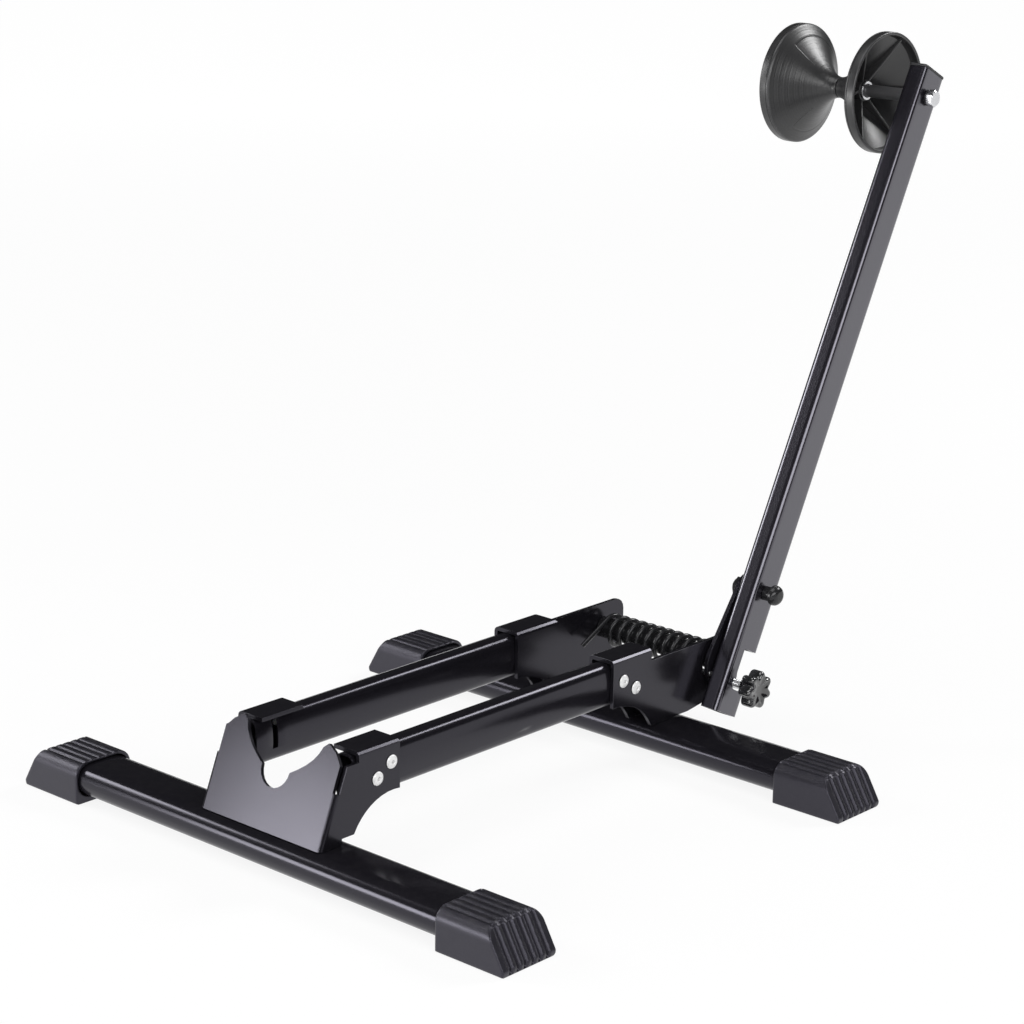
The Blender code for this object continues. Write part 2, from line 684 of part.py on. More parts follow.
def rear_bracket(name, side, *holes):
    """Hood over the rail whose outer wall runs back to carry the arm's axle."""
    front = REAR_BAR_Y - REAR_FRONT_EDGE
    flange_end = front + REAR_FLANGE_LENGTH
    skirt = quadratic((front, REAR_SKIRT_HEIGHT),
                      (REAR_BAR_Y - REAR_SKIRT_BEND, REAR_SKIRT_HEIGHT),
                      (REAR_BAR_Y - REAR_SKIRT_FOOT, BRACKET_FOOT), 7)
    bar_rear = REAR_BAR_Y + BAR_DEPTH / 2
    tail = REAR_BAR_Y + PIVOT_PLATE_END
    corner = PIVOT_PLATE_CORNER
    outer = [(front, FLANGE_TOP)] + skirt + [(bar_rear, BRACKET_FOOT)]
    outer += arc((tail - corner, PIVOT_PLATE_TAIL + corner), corner, -math.pi / 2, 0.0, 4)
    outer += arc((tail - corner, PIVOT_PLATE_TOP - corner), corner, 0.0, math.pi / 2, 4)
    outer += [(flange_end, PIVOT_PLATE_TOP), (flange_end, FLANGE_TOP)]
    inner = [(front, FLANGE_TOP)] + skirt
    inner += [(bar_rear, BRACKET_FOOT),
              (REAR_BAR_Y + INNER_PLATE_END, INNER_PLATE_END_HEIGHT),
              (flange_end, FLANGE_TOP)]
    flange = ((PLATE_OUTER, front), (PLATE_OUTER, flange_end), (HOOD_INNER, flange_end),
              (HOOD_INNER, front))
    panels = [([Vector((side * PLATE_OUTER, y, z)) for y, z in outer], (side, 0.0, 0.0)),
              ([Vector((side * x, y, FLANGE_TOP)) for x, y in flange], (0.0, 0.0, 1.0)),
              ([Vector((side * HOOD_INNER, y, z)) for y, z in inner], (-side, 0.0, 0.0))]
    bracket = place(name, folded_sheet(name, panels), powder_coat(name))
    thicken(bracket, SHEET)
    cut(bracket, *holes)


def rivet(name, side, y, z):
    """Domed head with the broken-off pin's hole, shank, and bulb behind the rail's wall."""
    seat = PLATE_OUTER + GAP
    top = seat + RIVET_HEAD_HEIGHT
    wall = RAIL_OUTER - RAIL_WALL - GAP
    profile = ((top - RIVET_HOLE_DEPTH, RIVET_HOLE_RADIUS), (top, RIVET_HOLE_RADIUS),
               (top, RIVET_CROWN_RADIUS), (top - RIVET_EDGE_DROP, RIVET_EDGE_RADIUS),
               (seat, RIVET_HEAD_RADIUS),
               (seat, RIVET_SHANK_RADIUS), (wall, RIVET_SHANK_RADIUS),
               (wall, RIVET_BULB_RADIUS), (wall - RIVET_BULB_LENGTH, RIVET_BULB_RADIUS))
    mirrored = [(side * x, radius) for x, radius in profile]
    place(name, turned(name, mirrored, SMALL_SIDES), zinc(name), None, (0.0, y, z))


def rivets(label, side, places):
    for number, (y, z) in enumerate(places, 1):
        rivet(f"rivet_{label}_{number}", side, y, z)


# Pivot, spring and lever

def pivot_point(angle, radius):
    """Place (y, z) round the axle, seen from the right, with 0 to the rear."""
    return AXLE_Y + radius * math.cos(angle), AXLE_HEIGHT + radius * math.sin(angle)


def right_leg_angle():
    """Where the wire leaves the coil so that the stop pin rests on the leg's outer side."""
    offset = SPRING_RADIUS + WIRE_RADIUS + GAP + PIN_RADIUS
    return PIN_ANGLE + math.acos(offset / PIN_ORBIT)


def left_leg_end():
    """Centre (y, z) of the hooked end of the spring's left leg."""
    y, z = pivot_point(LEFT_LEG_ANGLE, SPRING_RADIUS)
    return (y - LEFT_LEG_LENGTH * math.sin(LEFT_LEG_ANGLE),
            z + LEFT_LEG_LENGTH * math.cos(LEFT_LEG_ANGLE))


def spring_points():
    """Hook in the left bracket, leg, coils round the sleeve, and leg against the pin."""
    hook_y, hook_z = left_leg_end()
    tangent = Vector((0.0, math.sin(LEFT_LEG_ANGLE), -math.cos(LEFT_LEG_ANGLE)))
    corner = Vector((SPRING_LEFT, hook_y, hook_z))
    hook = corner - Vector((LEFT_LEG_BEND, 0.0, 0.0))
    points = [Vector((-PLATE_OUTER, hook_y, hook_z)),
              Vector((-(PLATE_INNER - WIRE_RADIUS), hook_y, hook_z))]
    points += [Vector(point) for point in quadratic(hook, corner,
                                                    corner + tangent * LEFT_LEG_BEND, 4)]
    right = right_leg_angle()
    fall = (LEFT_LEG_ANGLE - right) % (2 * math.pi) + 2 * math.pi * SPRING_FULL_TURNS
    steps = round(fall / (2 * math.pi) * POINTS_PER_TURN)
    for step in range(steps + 1):
        share = step / steps
        y, z = pivot_point(LEFT_LEG_ANGLE - fall * share, SPRING_RADIUS)
        points.append(Vector((SPRING_LEFT + (SPRING_RIGHT - SPRING_LEFT) * share, y, z)))
    contact = PIN_ORBIT * math.sin(right - PIN_ANGLE)
    leg = Vector((0.0, math.sin(right), -math.cos(right)))
    points += [points[-1] + leg * reach for reach in (contact, contact + RIGHT_LEG_OVERRUN)]
    return points


def print_least_gap(points):
    """Least gap of the wire to itself, between points at least half a turn apart."""
    apart = POINTS_PER_TURN // 2
    nearest = min((points[first] - points[second]).length
                  for first in range(len(points))
                  for second in range(first + apart, len(points)))
    print(f"torsion_spring least gap to itself {(nearest - 2 * WIRE_RADIUS) * 1000:.2f} mm")


def torsion_spring():
    points = spring_points()
    print_least_gap(points)
    curve = bpy.data.curves.new("torsion_spring", 'CURVE')
    curve.dimensions = '3D'
    curve.bevel_depth = WIRE_RADIUS
    curve.bevel_resolution = 1
    curve.use_fill_caps = True
    spline = curve.splines.new('POLY')
    spline.points.add(len(points) - 1)
    for item, point in zip(spline.points, points):
        item.co = (*point, 1.0)
    spline.use_smooth = True
    place("torsion_spring", curve, black_steel("torsion_spring"))


def spring_sleeve():
    half = PLATE_INNER - GAP
    profile = ((-half, AXLE_RADIUS + HOLE_GAP), (-half, SLEEVE_RADIUS),
               (half, SLEEVE_RADIUS), (half, AXLE_RADIUS + HOLE_GAP))
    place("spring_sleeve", turned("spring_sleeve", profile, bored=True),
          black_steel("spring_sleeve"), None, (0.0, AXLE_Y, AXLE_HEIGHT))


def lever_outline():
    """Round foot about the axle and smaller round head about the fold bolt."""
    tilt = math.asin((LEVER_FOOT_RADIUS - LEVER_HEAD_RADIUS) / FOLD_BOLT_UP)
    head = arc((0.0, FOLD_BOLT_UP), LEVER_HEAD_RADIUS, tilt, math.pi - tilt, 10)
    foot = arc((0.0, 0.0), LEVER_FOOT_RADIUS, math.pi - tilt, 2 * math.pi + tilt, 18)
    return head + foot


def arm_lever(pivot):
    """Plate that the arm folds on, with a slot, open at the rear, for the knob's screw."""
    lever = place("arm_lever", prism("arm_lever", lever_outline(), 'X', LEVER_INNER,
                                     LEVER_OUTER), powder_coat("arm_lever"), pivot)
    reach = (LEVER_INNER - TRIM, LEVER_OUTER + TRIM)
    pin = (PIN_ORBIT * math.cos(PIN_ANGLE + ARM_LEAN), PIN_ORBIT * math.sin(PIN_ANGLE + ARM_LEAN))
    lever_tools = (
        cutter("lever_axle_hole", rod("lever_axle_hole", *reach, AXLE_RADIUS + HOLE_GAP,
                                      sides=ROUND_SIDES), pivot),
        cutter("lever_bolt_hole", rod("lever_bolt_hole", *reach, FOLD_BOLT_RADIUS + HOLE_GAP,
                                      ((0.0, FOLD_BOLT_UP),), ROUND_SIDES), pivot),
        cutter("lever_pin_hole", rod("lever_pin_hole", *reach, PIN_RADIUS + HOLE_GAP, (pin,)),
               pivot),
        cutter("lever_screw_slot", prism("lever_screw_slot", arc_slot(
            (0.0, FOLD_BOLT_UP), FOLD_BOLT_UP - KNOB_UP, SCREW_RADIUS + HOLE_GAP,
            -math.pi / 2, -math.pi / 2 + LEVER_SLOT_SPREAD), 'X', *reach), pivot))
    cut(lever, *lever_tools)


def pivot_pieces(pivot):
    left_face = -(PLATE_OUTER + GAP)
    bore = AXLE_RADIUS + HOLE_GAP
    place("pivot_washer_right", washer("pivot_washer_right", PLATE_OUTER + GAP,
                                       WASHER_THICKNESS, WASHER_RADIUS, bore),
          zinc("pivot_washer_right"), pivot)
    place("pivot_washer_left", washer("pivot_washer_left", left_face - WASHER_THICKNESS,
                                      WASHER_THICKNESS, WASHER_RADIUS, bore),
          zinc("pivot_washer_left"), pivot)
    nut_face = left_face - WASHER_THICKNESS - GAP
    place("pivot_nut", nut("pivot_nut", nut_face - NUT_THICKNESS, NUT_THICKNESS, NUT_FLATS,
                           bore), zinc("pivot_nut"), pivot)
    place("pivot_axle", rod("pivot_axle", nut_face - NUT_THICKNESS - AXLE_TAIL, LEVER_OUTER,
                            AXLE_RADIUS, sides=ROUND_SIDES), zinc("pivot_axle"), pivot)
    angle = PIN_ANGLE + ARM_LEAN
    place("stop_pin", rod("stop_pin", SPRING_RIGHT - PIN_REACH, LEVER_OUTER, PIN_RADIUS),
          zinc("stop_pin"), pivot,
          (0.0, PIN_ORBIT * math.cos(angle), PIN_ORBIT * math.sin(angle)))


def fold_bolt_pieces(pivot):
    """Domed, collared bolt that the arm folds on, with its washer and nut in the lever."""
    at = (0.0, 0.0, FOLD_BOLT_UP)
    seat = ARM_OUTER + GAP
    head = seat + FOLD_COLLAR_LENGTH
    top = head + FOLD_HEAD_HEIGHT
    washer_face = LEVER_INNER - GAP
    nut_face = washer_face - FOLD_WASHER_THICKNESS - GAP
    profile = [(nut_face - FOLD_NUT_THICKNESS - FOLD_BOLT_TAIL, FOLD_BOLT_RADIUS),
               (seat, FOLD_BOLT_RADIUS), (seat, FOLD_COLLAR_RADIUS),
               (head, FOLD_COLLAR_RADIUS), (head, FOLD_HEAD_RADIUS)]
    profile += arc((top - FOLD_HEAD_DOME, FOLD_HEAD_RADIUS - FOLD_HEAD_DOME), FOLD_HEAD_DOME,
                   math.pi / 2, 0.0, 5)
    place("fold_bolt", turned("fold_bolt", profile), black_steel("fold_bolt"), pivot, at)
    bore = FOLD_BOLT_RADIUS + HOLE_GAP
    place("fold_washer", washer("fold_washer", washer_face - FOLD_WASHER_THICKNESS,
                                FOLD_WASHER_THICKNESS, FOLD_WASHER_RADIUS, bore),
          black_steel("fold_washer"), pivot, at)
    place("fold_nut", nut("fold_nut", nut_face - FOLD_NUT_THICKNESS, FOLD_NUT_THICKNESS,
                          FOLD_NUT_FLATS, bore), black_steel("fold_nut"), pivot, at)


# Upright arm, knob and rollers

def upright_tube(fold):
    """Arm tube, notched at the foot so that the knob's screw can be reached."""
    outline = [(ARM_CENTRE + across, back) for across, back
               in rounded_outline(ARM_WIDTH, ARM_DEPTH, ARM_CORNER)]
    lift = (0.0, 0.0, -FOLD_BOLT_UP)
    tube = place("upright_tube", open_tube("upright_tube", outline, 'Z', ARM_BOTTOM,
                                           ARM_TUBE_TOP), powder_coat("upright_tube"),
                 fold, lift)
    thicken(tube, ARM_WALL)
    front = -ARM_DEPTH / 2 + NOTCH_FRONT_STRIP
    rear = ARM_DEPTH / 2 + TRIM
    notch = arc((front + NOTCH_CORNER, NOTCH_HIGH - NOTCH_CORNER), NOTCH_CORNER,
                math.pi / 2, math.pi, CORNER_STEPS)
    notch += arc((front + NOTCH_CORNER, NOTCH_LOW + NOTCH_CORNER), NOTCH_CORNER,
                 math.pi, 1.5 * math.pi, CORNER_STEPS)
    notch += [(rear, NOTCH_LOW), (rear, NOTCH_HIGH)]
    reach = (ARM_INNER - TRIM, ARM_OUTER + TRIM)
    cut(tube,
        cutter("arm_notch", prism("arm_notch", notch, 'X', ARM_INNER + NOTCH_SIDE_STRIP,
                                  ARM_OUTER + TRIM), fold, lift),
        cutter("arm_screw_hole", rod("arm_screw_hole", ARM_INNER - TRIM,
                                     ARM_INNER + ARM_WALL + GAP, SCREW_RADIUS + HOLE_GAP,
                                     ((0.0, KNOB_UP),)), fold, lift),
        cutter("arm_bolt_hole", rod("arm_bolt_hole", *reach, FOLD_BOLT_RADIUS + HOLE_GAP,
                                    ((0.0, FOLD_BOLT_UP),), ROUND_SIDES), fold, lift),
        cutter("arm_roller_hole", rod("arm_roller_hole", *reach,
                                      ROLLER_BOLT_RADIUS + HOLE_GAP,
                                      ((0.0, ROLLER_UP),)), fold, lift))


def tube_plug(fold):
    """Plastic plug: a head over the tube's end and a body inside it."""
    body = rounded_outline(ARM_WIDTH - 2 * (ARM_WALL + PLUG_CLEARANCE),
                           ARM_DEPTH - 2 * (ARM_WALL + PLUG_CLEARANCE),
                           ARM_CORNER - ARM_WALL)
    head = rounded_outline(ARM_WIDTH, ARM_DEPTH, ARM_CORNER)
    crown = rounded_outline(ARM_WIDTH - 2 * PLUG_EDGE, ARM_DEPTH - 2 * PLUG_EDGE,
                            ARM_CORNER - PLUG_EDGE)
    seat = ARM_TUBE_TOP + GAP
    levels = ((body, seat - PLUG_DEPTH), (body, seat), (head, seat),
              (head, ARM_TOP - PLUG_EDGE), (crown, ARM_TOP))
    rings = [[(ARM_CENTRE + across, back, height) for across, back in outline]
             for outline, height in levels]
    place("tube_plug", lofted("tube_plug", rings), black_plastic("tube_plug"), fold,
          (0.0, 0.0, -FOLD_BOLT_UP))


def knob_boss(knob_axis):
    """Threaded boss inside the arm, welded to the wall next to the lever."""
    start = ARM_INNER + ARM_WALL + GAP
    profile = ((start, SCREW_RADIUS + HOLE_GAP), (start, BOSS_RADIUS),
               (start + BOSS_LENGTH, BOSS_RADIUS),
               (start + BOSS_LENGTH, SCREW_RADIUS + HOLE_GAP))
    place("knob_boss", turned("knob_boss", profile, bored=True),
          powder_coat("knob_boss"), knob_axis)


def star_knob(knob_axis):
    """Seven-lobed hand knob with rounded rims, a neck and a blind bore for the screw."""
    count = KNOB_LOBES * POINTS_PER_LOBE

    def lobed(x, inset):
        points = []
        for index in range(count):
            angle = 2 * math.pi * index / count
            dip = (1 - math.cos(KNOB_LOBES * angle)) / 2
            reach = KNOB_RADIUS - inset - KNOB_LOBE_DEPTH * dip
            points.append((x, reach * math.cos(angle), reach * math.sin(angle)))
        return points

    outer = KNOB_INNER + KNOB_THICKNESS
    neck = KNOB_INNER - KNOB_NECK_LENGTH
    bore = SCREW_RADIUS + HOLE_GAP
    depth = KNOB_INNER + SCREW_BURIED + GAP
    rings = [circle(depth, bore, count), circle(neck, bore, count),
             circle(neck, KNOB_NECK_RADIUS, count), circle(KNOB_INNER, KNOB_NECK_RADIUS, count),
             lobed(KNOB_INNER, KNOB_EDGE), lobed(KNOB_INNER + KNOB_EDGE, 0.0),
             lobed(outer - KNOB_EDGE, 0.0), lobed(outer - KNOB_CROWN_DROP, KNOB_CROWN_INSET),
             lobed(outer, KNOB_EDGE)]
    place("star_knob", lofted("star_knob", rings), black_plastic("star_knob"), knob_axis)


def knob_screw(knob_axis):
    """Screw through the boss, whose tip stands in the lever's slot."""
    place("knob_screw", rod("knob_screw", LEVER_INNER + GAP, KNOB_INNER + SCREW_BURIED,
                            SCREW_RADIUS), zinc("knob_screw"), knob_axis)


def flare_shares():
    """Steps along the trumpet, wider apart near the neck where it is nearly straight."""
    return [(step / FLARE_STEPS) ** FLARE_CROWDING for step in range(FLARE_STEPS + 1)]


def roller_face(share):
    """Trumpet surface as (x, radius), from the neck at 0 to the rim at 1."""
    length = ROLLER_LENGTH - ROLLER_RIM - GAP
    return Vector((GAP + length * share,
                   ROLLER_NECK_RADIUS + (ROLLER_RADIUS - ROLLER_NECK_RADIUS)
                   * share ** ROLLER_FLARE))


def roller_inset(share, depth):
    """The trumpet surface moved into the wall by a depth."""
    length = ROLLER_LENGTH - ROLLER_RIM - GAP
    climb = (ROLLER_RADIUS - ROLLER_NECK_RADIUS) * ROLLER_FLARE * share ** (ROLLER_FLARE - 1)
    slope = Vector((length, climb)).normalized()
    return roller_face(share) + Vector((slope.y, -slope.x)) * depth


def cone_roller(name, side, roller_axis):
    """Hollow trumpet with a bored hub and radial ribs, open at its outer end."""
    shares = flare_shares()
    bore = ROLLER_SLEEVE_RADIUS + HOLE_GAP
    inside = [roller_inset(share, ROLLER_WALL) for share in reversed(shares)]
    inside = [point for point in inside if point.y > ROLLER_HUB_RADIUS + ROLLER_WALL]
    inside = [point for point in inside if point.y < ROLLER_RADIUS - ROLLER_WALL]
    rim = ROLLER_RADIUS - ROLLER_WALL
    rim_inner = Vector((roller_inset(1.0, ROLLER_WALL).x, rim))
    profile = [Vector((GAP, bore))] + [roller_face(share) for share in shares]
    profile += [Vector((ROLLER_LENGTH, ROLLER_RADIUS)), Vector((ROLLER_LENGTH, rim)),
                rim_inner] + inside
    profile += [Vector((inside[-1].x, ROLLER_HUB_RADIUS)),
                Vector((ROLLER_HUB_END, ROLLER_HUB_RADIUS)), Vector((ROLLER_HUB_END, bore))]
    turned_points = [(side * point.x, point.y) for point in profile]
    roller = place(name, turned(name, turned_points, ROLLER_SIDES, True),
                   black_plastic(name), roller_axis, rotation_x=ARM_LEAN)
    ribs = cutter(f"{name}_ribs", rib_star(name, side, inside[-1].x), roller)
    combine(roller, ribs, 'UNION')


def rib_star(name, side, floor):
    """Ribs from hub to wall, each a flat web whose free edge slopes out to the rim."""
    middle = ROLLER_WALL / 2
    hub = (ROLLER_HUB_RADIUS + ROLLER_SLEEVE_RADIUS + HOLE_GAP) / 2
    shares = flare_shares()
    wall = [roller_inset(share, middle) for share in shares]
    wall = [point for point in wall if point.x > floor and point.y > hub]
    end = Vector((ROLLER_LENGTH - ROLLER_RIB_INSET, ROLLER_RADIUS - middle))
    outline = [Vector((floor - middle, hub))] + wall + [end]
    outline += [Vector((ROLLER_HUB_END - GAP, hub))]
    bm = bmesh.new()
    for index in range(ROLLER_RIBS):
        angle = 2 * math.pi * index / ROLLER_RIBS
        radial = Vector((0.0, math.cos(angle), math.sin(angle)))
        across = Vector((0.0, -math.sin(angle), math.cos(angle))) * ROLLER_RIB_THICKNESS
        face = bm.faces.new([bm.verts.new(Vector((side * point.x, 0.0, 0.0))
                                          + radial * point.y - across / 2)
                             for point in outline])
        pushed = bmesh.ops.extrude_face_region(bm, geom=[face])
        moved = [item for item in pushed["geom"] if isinstance(item, bmesh.types.BMVert)]
        bmesh.ops.translate(bm, verts=moved, vec=across)
    bmesh.ops.recalc_face_normals(bm, faces=bm.faces)
    return finish_mesh(f"{name}_ribs", bm)


def roller_shaft_pieces(roller_axis):
    """Sleeve for the rollers, the bolt that clamps it to the arm, and their washers."""
    bore = ROLLER_BOLT_RADIUS + HOLE_GAP
    hub_face = -(ROLLER_HUB_END + GAP)
    place("roller_sleeve", turned("roller_sleeve", (
        (hub_face, bore), (hub_face, ROLLER_SLEEVE_RADIUS),
        (ARM_INNER - GAP, ROLLER_SLEEVE_RADIUS), (ARM_INNER - GAP, bore)), bored=True),
        black_steel("roller_sleeve"), roller_axis)
    place("roller_washer_right", washer(
        "roller_washer_right", ROLLER_HUB_END + GAP, ROLLER_WASHER_THICKNESS,
        ROLLER_WASHER_RADIUS, ROLLER_SLEEVE_RADIUS + HOLE_GAP),
        zinc("roller_washer_right"), roller_axis)
    washer_end = hub_face - GAP - ROLLER_WASHER_THICKNESS
    place("roller_washer_left", washer("roller_washer_left", washer_end,
                                       ROLLER_WASHER_THICKNESS, ROLLER_WASHER_RADIUS, bore),
          zinc("roller_washer_left"), roller_axis)
    nut_end = washer_end - GAP - ROLLER_NUT_THICKNESS
    place("roller_nut", nut("roller_nut", nut_end, ROLLER_NUT_THICKNESS, ROLLER_HEAD_FLATS,
                            bore), zinc("roller_nut"), roller_axis)
    seat = ARM_OUTER + GAP
    place("head_washer", washer("head_washer", seat, ROLLER_WASHER_THICKNESS,
                                HEAD_WASHER_RADIUS, bore), black_steel("head_washer"),
          roller_axis)
    head = seat + ROLLER_WASHER_THICKNESS + GAP
    top = head + ROLLER_HEAD_HEIGHT
    half_flats = ROLLER_HEAD_FLATS / 2
    rings = [circle(nut_end - AXLE_TAIL, ROLLER_BOLT_RADIUS, ROUND_SIDES),
             circle(head, ROLLER_BOLT_RADIUS, ROUND_SIDES),
             hexagon(head, half_flats, ROUND_SIDES),
             hexagon(top - NUT_EDGE, half_flats, ROUND_SIDES),
             circle(top, half_flats - NUT_EDGE / 2, ROUND_SIDES)]
    place("roller_bolt", lofted("roller_bolt", rings), zinc("roller_bolt"), roller_axis)


def base():
    crossbar("front_crossbar", FRONT_BAR_Y)
    crossbar("rear_crossbar", REAR_BAR_Y)
    for label, side in (("left", -1), ("right", 1)):
        foot_cap(f"foot_cap_front_{label}", side, FRONT_BAR_Y)
        foot_cap(f"foot_cap_rear_{label}", side, REAR_BAR_Y)
    front_places = rivet_places(FRONT_RIVETS, FRONT_BAR_Y)
    rear_places = rivet_places(REAR_RIVETS, REAR_BAR_Y)
    axle_hole = cutter("bracket_axle_hole", rod(
        "bracket_axle_hole", -PLATE_OUTER - TRIM, PLATE_OUTER + TRIM,
        AXLE_RADIUS + HOLE_GAP, ((AXLE_Y, AXLE_HEIGHT),), ROUND_SIDES))
    pin_slot = cutter("bracket_pin_slot", prism("bracket_pin_slot", arc_slot(
        (AXLE_Y, AXLE_HEIGHT), PIN_ORBIT, PIN_RADIUS + SLOT_CLEARANCE,
        PIN_ANGLE - PIVOT_TRAVEL, PIN_ANGLE), 'X', PLATE_INNER - TRIM, PLATE_OUTER + TRIM))
    spring_hole = cutter("bracket_spring_hole", rod(
        "bracket_spring_hole", -PLATE_OUTER - TRIM, -PLATE_INNER + TRIM,
        WIRE_RADIUS + HOLE_GAP, (left_leg_end(),)))
    front_holes = []
    own_holes = {"left": spring_hole, "right": pin_slot}
    for label, side in (("left", -1), ("right", 1)):
        front = rivet_holes(f"rivet_holes_front_{label}", side, front_places)
        rear = rivet_holes(f"rivet_holes_rear_{label}", side, rear_places)
        front_holes.append(front)
        rail(f"rail_{label}", side, front, rear)
        rear_bracket(f"rear_bracket_{label}", side, rear, axle_hole, own_holes[label])
        rivets(f"front_{label}", side, front_places)
        rivets(f"rear_{label}", side, rear_places)
    front_bracket(*front_holes)
    spring_sleeve()
    torsion_spring()


def arm():
    pivot = place("arm_pivot_axis", None, None, None, (0.0, AXLE_Y, AXLE_HEIGHT), -ARM_LEAN)
    fold = place("arm_fold_axis", None, None, pivot, (0.0, 0.0, FOLD_BOLT_UP))
    knob_axis = place("knob_axis", None, None, fold, (0.0, 0.0, KNOB_UP - FOLD_BOLT_UP))
    roller_axis = place("roller_axis", None, None, fold,
                        (0.0, 0.0, ROLLER_UP - FOLD_BOLT_UP))
    arm_lever(pivot)
    pivot_pieces(pivot)
    fold_bolt_pieces(pivot)
    upright_tube(fold)
    tube_plug(fold)
    knob_boss(knob_axis)
    star_knob(knob_axis)
    knob_screw(knob_axis)
    roller_shaft_pieces(roller_axis)
    cone_roller("roller_left", -1, roller_axis)
    cone_roller("roller_right", 1, roller_axis)


clear_scene()
base()
arm()
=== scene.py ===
import math

import bmesh
import bpy
from mathutils import Matrix, Vector


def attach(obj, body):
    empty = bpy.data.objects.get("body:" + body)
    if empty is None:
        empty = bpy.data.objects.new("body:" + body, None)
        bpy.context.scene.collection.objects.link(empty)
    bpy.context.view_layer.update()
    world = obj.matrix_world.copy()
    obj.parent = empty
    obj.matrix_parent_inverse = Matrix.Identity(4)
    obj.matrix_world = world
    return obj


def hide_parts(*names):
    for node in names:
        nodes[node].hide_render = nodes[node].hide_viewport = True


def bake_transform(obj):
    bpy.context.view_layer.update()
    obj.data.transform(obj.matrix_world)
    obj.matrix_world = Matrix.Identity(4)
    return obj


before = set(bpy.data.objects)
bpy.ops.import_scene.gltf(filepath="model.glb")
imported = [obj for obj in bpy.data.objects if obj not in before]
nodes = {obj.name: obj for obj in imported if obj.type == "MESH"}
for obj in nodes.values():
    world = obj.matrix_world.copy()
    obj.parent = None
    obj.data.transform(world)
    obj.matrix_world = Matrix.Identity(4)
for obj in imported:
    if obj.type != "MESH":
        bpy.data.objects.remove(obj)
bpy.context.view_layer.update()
print("frame loaded:", len(nodes), "solids")

# where the moving parts sit, in metres
stand = {
    "axle": Vector((0.0, 0.076005, 0.0515)),      # pivot of the arm
    "lean": math.radians(26.8),                    # arm, back from upright
    "rollerUp": 0.3921,                            # along the arm from the axle
    "knobUp": -0.0115,
    "armX": 0.0624, "railX": 0.0401, "railZ": 0.0590,      # middles of the tubes
    "barY": {"front": -0.271495, "rear": 0.026505}, "barZ": 0.0140,
    "plateInner": 0.0479, "plateOuter": 0.0504, "halfWidth": 0.2,
}
handed = {"left": -1, "right": 1}


def alongArm(x, back, up):
    # a place given across, behind and up the leaning arm
    lean = stand["lean"]
    return stand["axle"] + Vector((x, back * math.cos(lean) + up * math.sin(lean),
                                   up * math.cos(lean) - back * math.sin(lean)))


armTurn = Matrix.Rotation(-stand["lean"], 4, 'X')


def addNode(tree, kind, at=(0, 0), **settings):
    node = tree.nodes.new(kind)
    node.location = at
    for key, value in settings.items():
        setattr(node, key, value)
    return node


def feed(tree, socket, value):
    # a number or colour is set on the socket, an output is linked to it
    if isinstance(value, (int, float)):
        socket.default_value = value
    elif isinstance(value, tuple):
        socket.default_value = (*value, 1.0)
    else:
        tree.links.new(value, socket)


def addMath(tree, operation, first, second=None, at=(0, 0), clamp=False):
    node = addNode(tree, 'ShaderNodeMath', at, operation=operation, use_clamp=clamp)
    feed(tree, node.inputs[0], first)
    if second is not None:
        feed(tree, node.inputs[1], second)
    return node.outputs[0]


def addNoise(tree, vector, scale, detail, at=(0, 0)):
    node = addNode(tree, 'ShaderNodeTexNoise', at)
    for label, value in (('Vector', vector), ('Scale', scale), ('Detail', detail)):
        feed(tree, node.inputs[label], value)
    return node.outputs['Fac']


def addRange(tree, value, low, high, toLow=0.0, toHigh=1.0, at=(0, 0)):
    node = addNode(tree, 'ShaderNodeMapRange', at)
    for label, number in (('Value', value), ('From Min', low), ('From Max', high),
                          ('To Min', toLow), ('To Max', toHigh)):
        feed(tree, node.inputs[label], number)
    return node.outputs['Result']


def newGroup(name, **inputs):
    # each group is made once and used by several finishes
    group = bpy.data.node_groups.new(name, 'ShaderNodeTree')
    for label, value in inputs.items():
        kind = 'NodeSocketVector' if isinstance(value, tuple) else 'NodeSocketFloat'
        socket = group.interface.new_socket(label.replace('_', ' '), in_out='INPUT',
                                            socket_type=kind)
        socket.default_value = value
    enter = addNode(group, 'NodeGroupInput', (-900, 0))
    place = addNode(group, 'ShaderNodeTexCoord', (-900, -200))
    return group, enter.outputs, place.outputs['Object']


def closeGroup(group, **results):
    for label in results:
        group.interface.new_socket(label, in_out='OUTPUT', socket_type='NodeSocketFloat')
    leave = addNode(group, 'NodeGroupOutput', (500, 0))
    for label, socket in results.items():
        group.links.new(socket, leave.inputs[label])
    return group


def makeEdgeSheenAndWear():
    # rounded edges carry a value in their mesh that lightens them: painted edge highlight, partly
    # wear; noise breaks it up
    group, given, place = newGroup("edgeSheenAndWear", Patch_Scale=120.0, Least=0.4)
    sheenAndWear = addNode(group, 'ShaderNodeAttribute', (-700, 200), attribute_name="sheenAndWear")
    patches = addNoise(group, place, given['Patch Scale'], 3.0, (-500, -100))
    spread = addRange(group, patches, 0.35, 0.65, given['Least'], 1.0, (-300, -100))
    mask = addMath(group, 'MULTIPLY', sheenAndWear.outputs['Fac'], spread, (0, 0), True)
    return closeGroup(group, Mask=mask)


def makeFinePeel():
    # the pebbled skin of baked powder or of a moulded surface
    group, given, place = newGroup("finePeel", Scale=900.0, Grain_Scale=4200.0,
                                   Grain_Share=0.3)
    peel = addNoise(group, place, given['Scale'], 2.0, (-500, 200))
    grain = addNoise(group, place, given['Grain Scale'], 1.0, (-500, 0))
    cloud = addNoise(group, place, 45.0, 3.0, (-500, -200))
    part = addMath(group, 'MULTIPLY', grain, given['Grain Share'], (-250, 0))
    height = addMath(group, 'ADD', peel, part, (0, 100))
    return closeGroup(group, Height=height, Cloud=cloud)


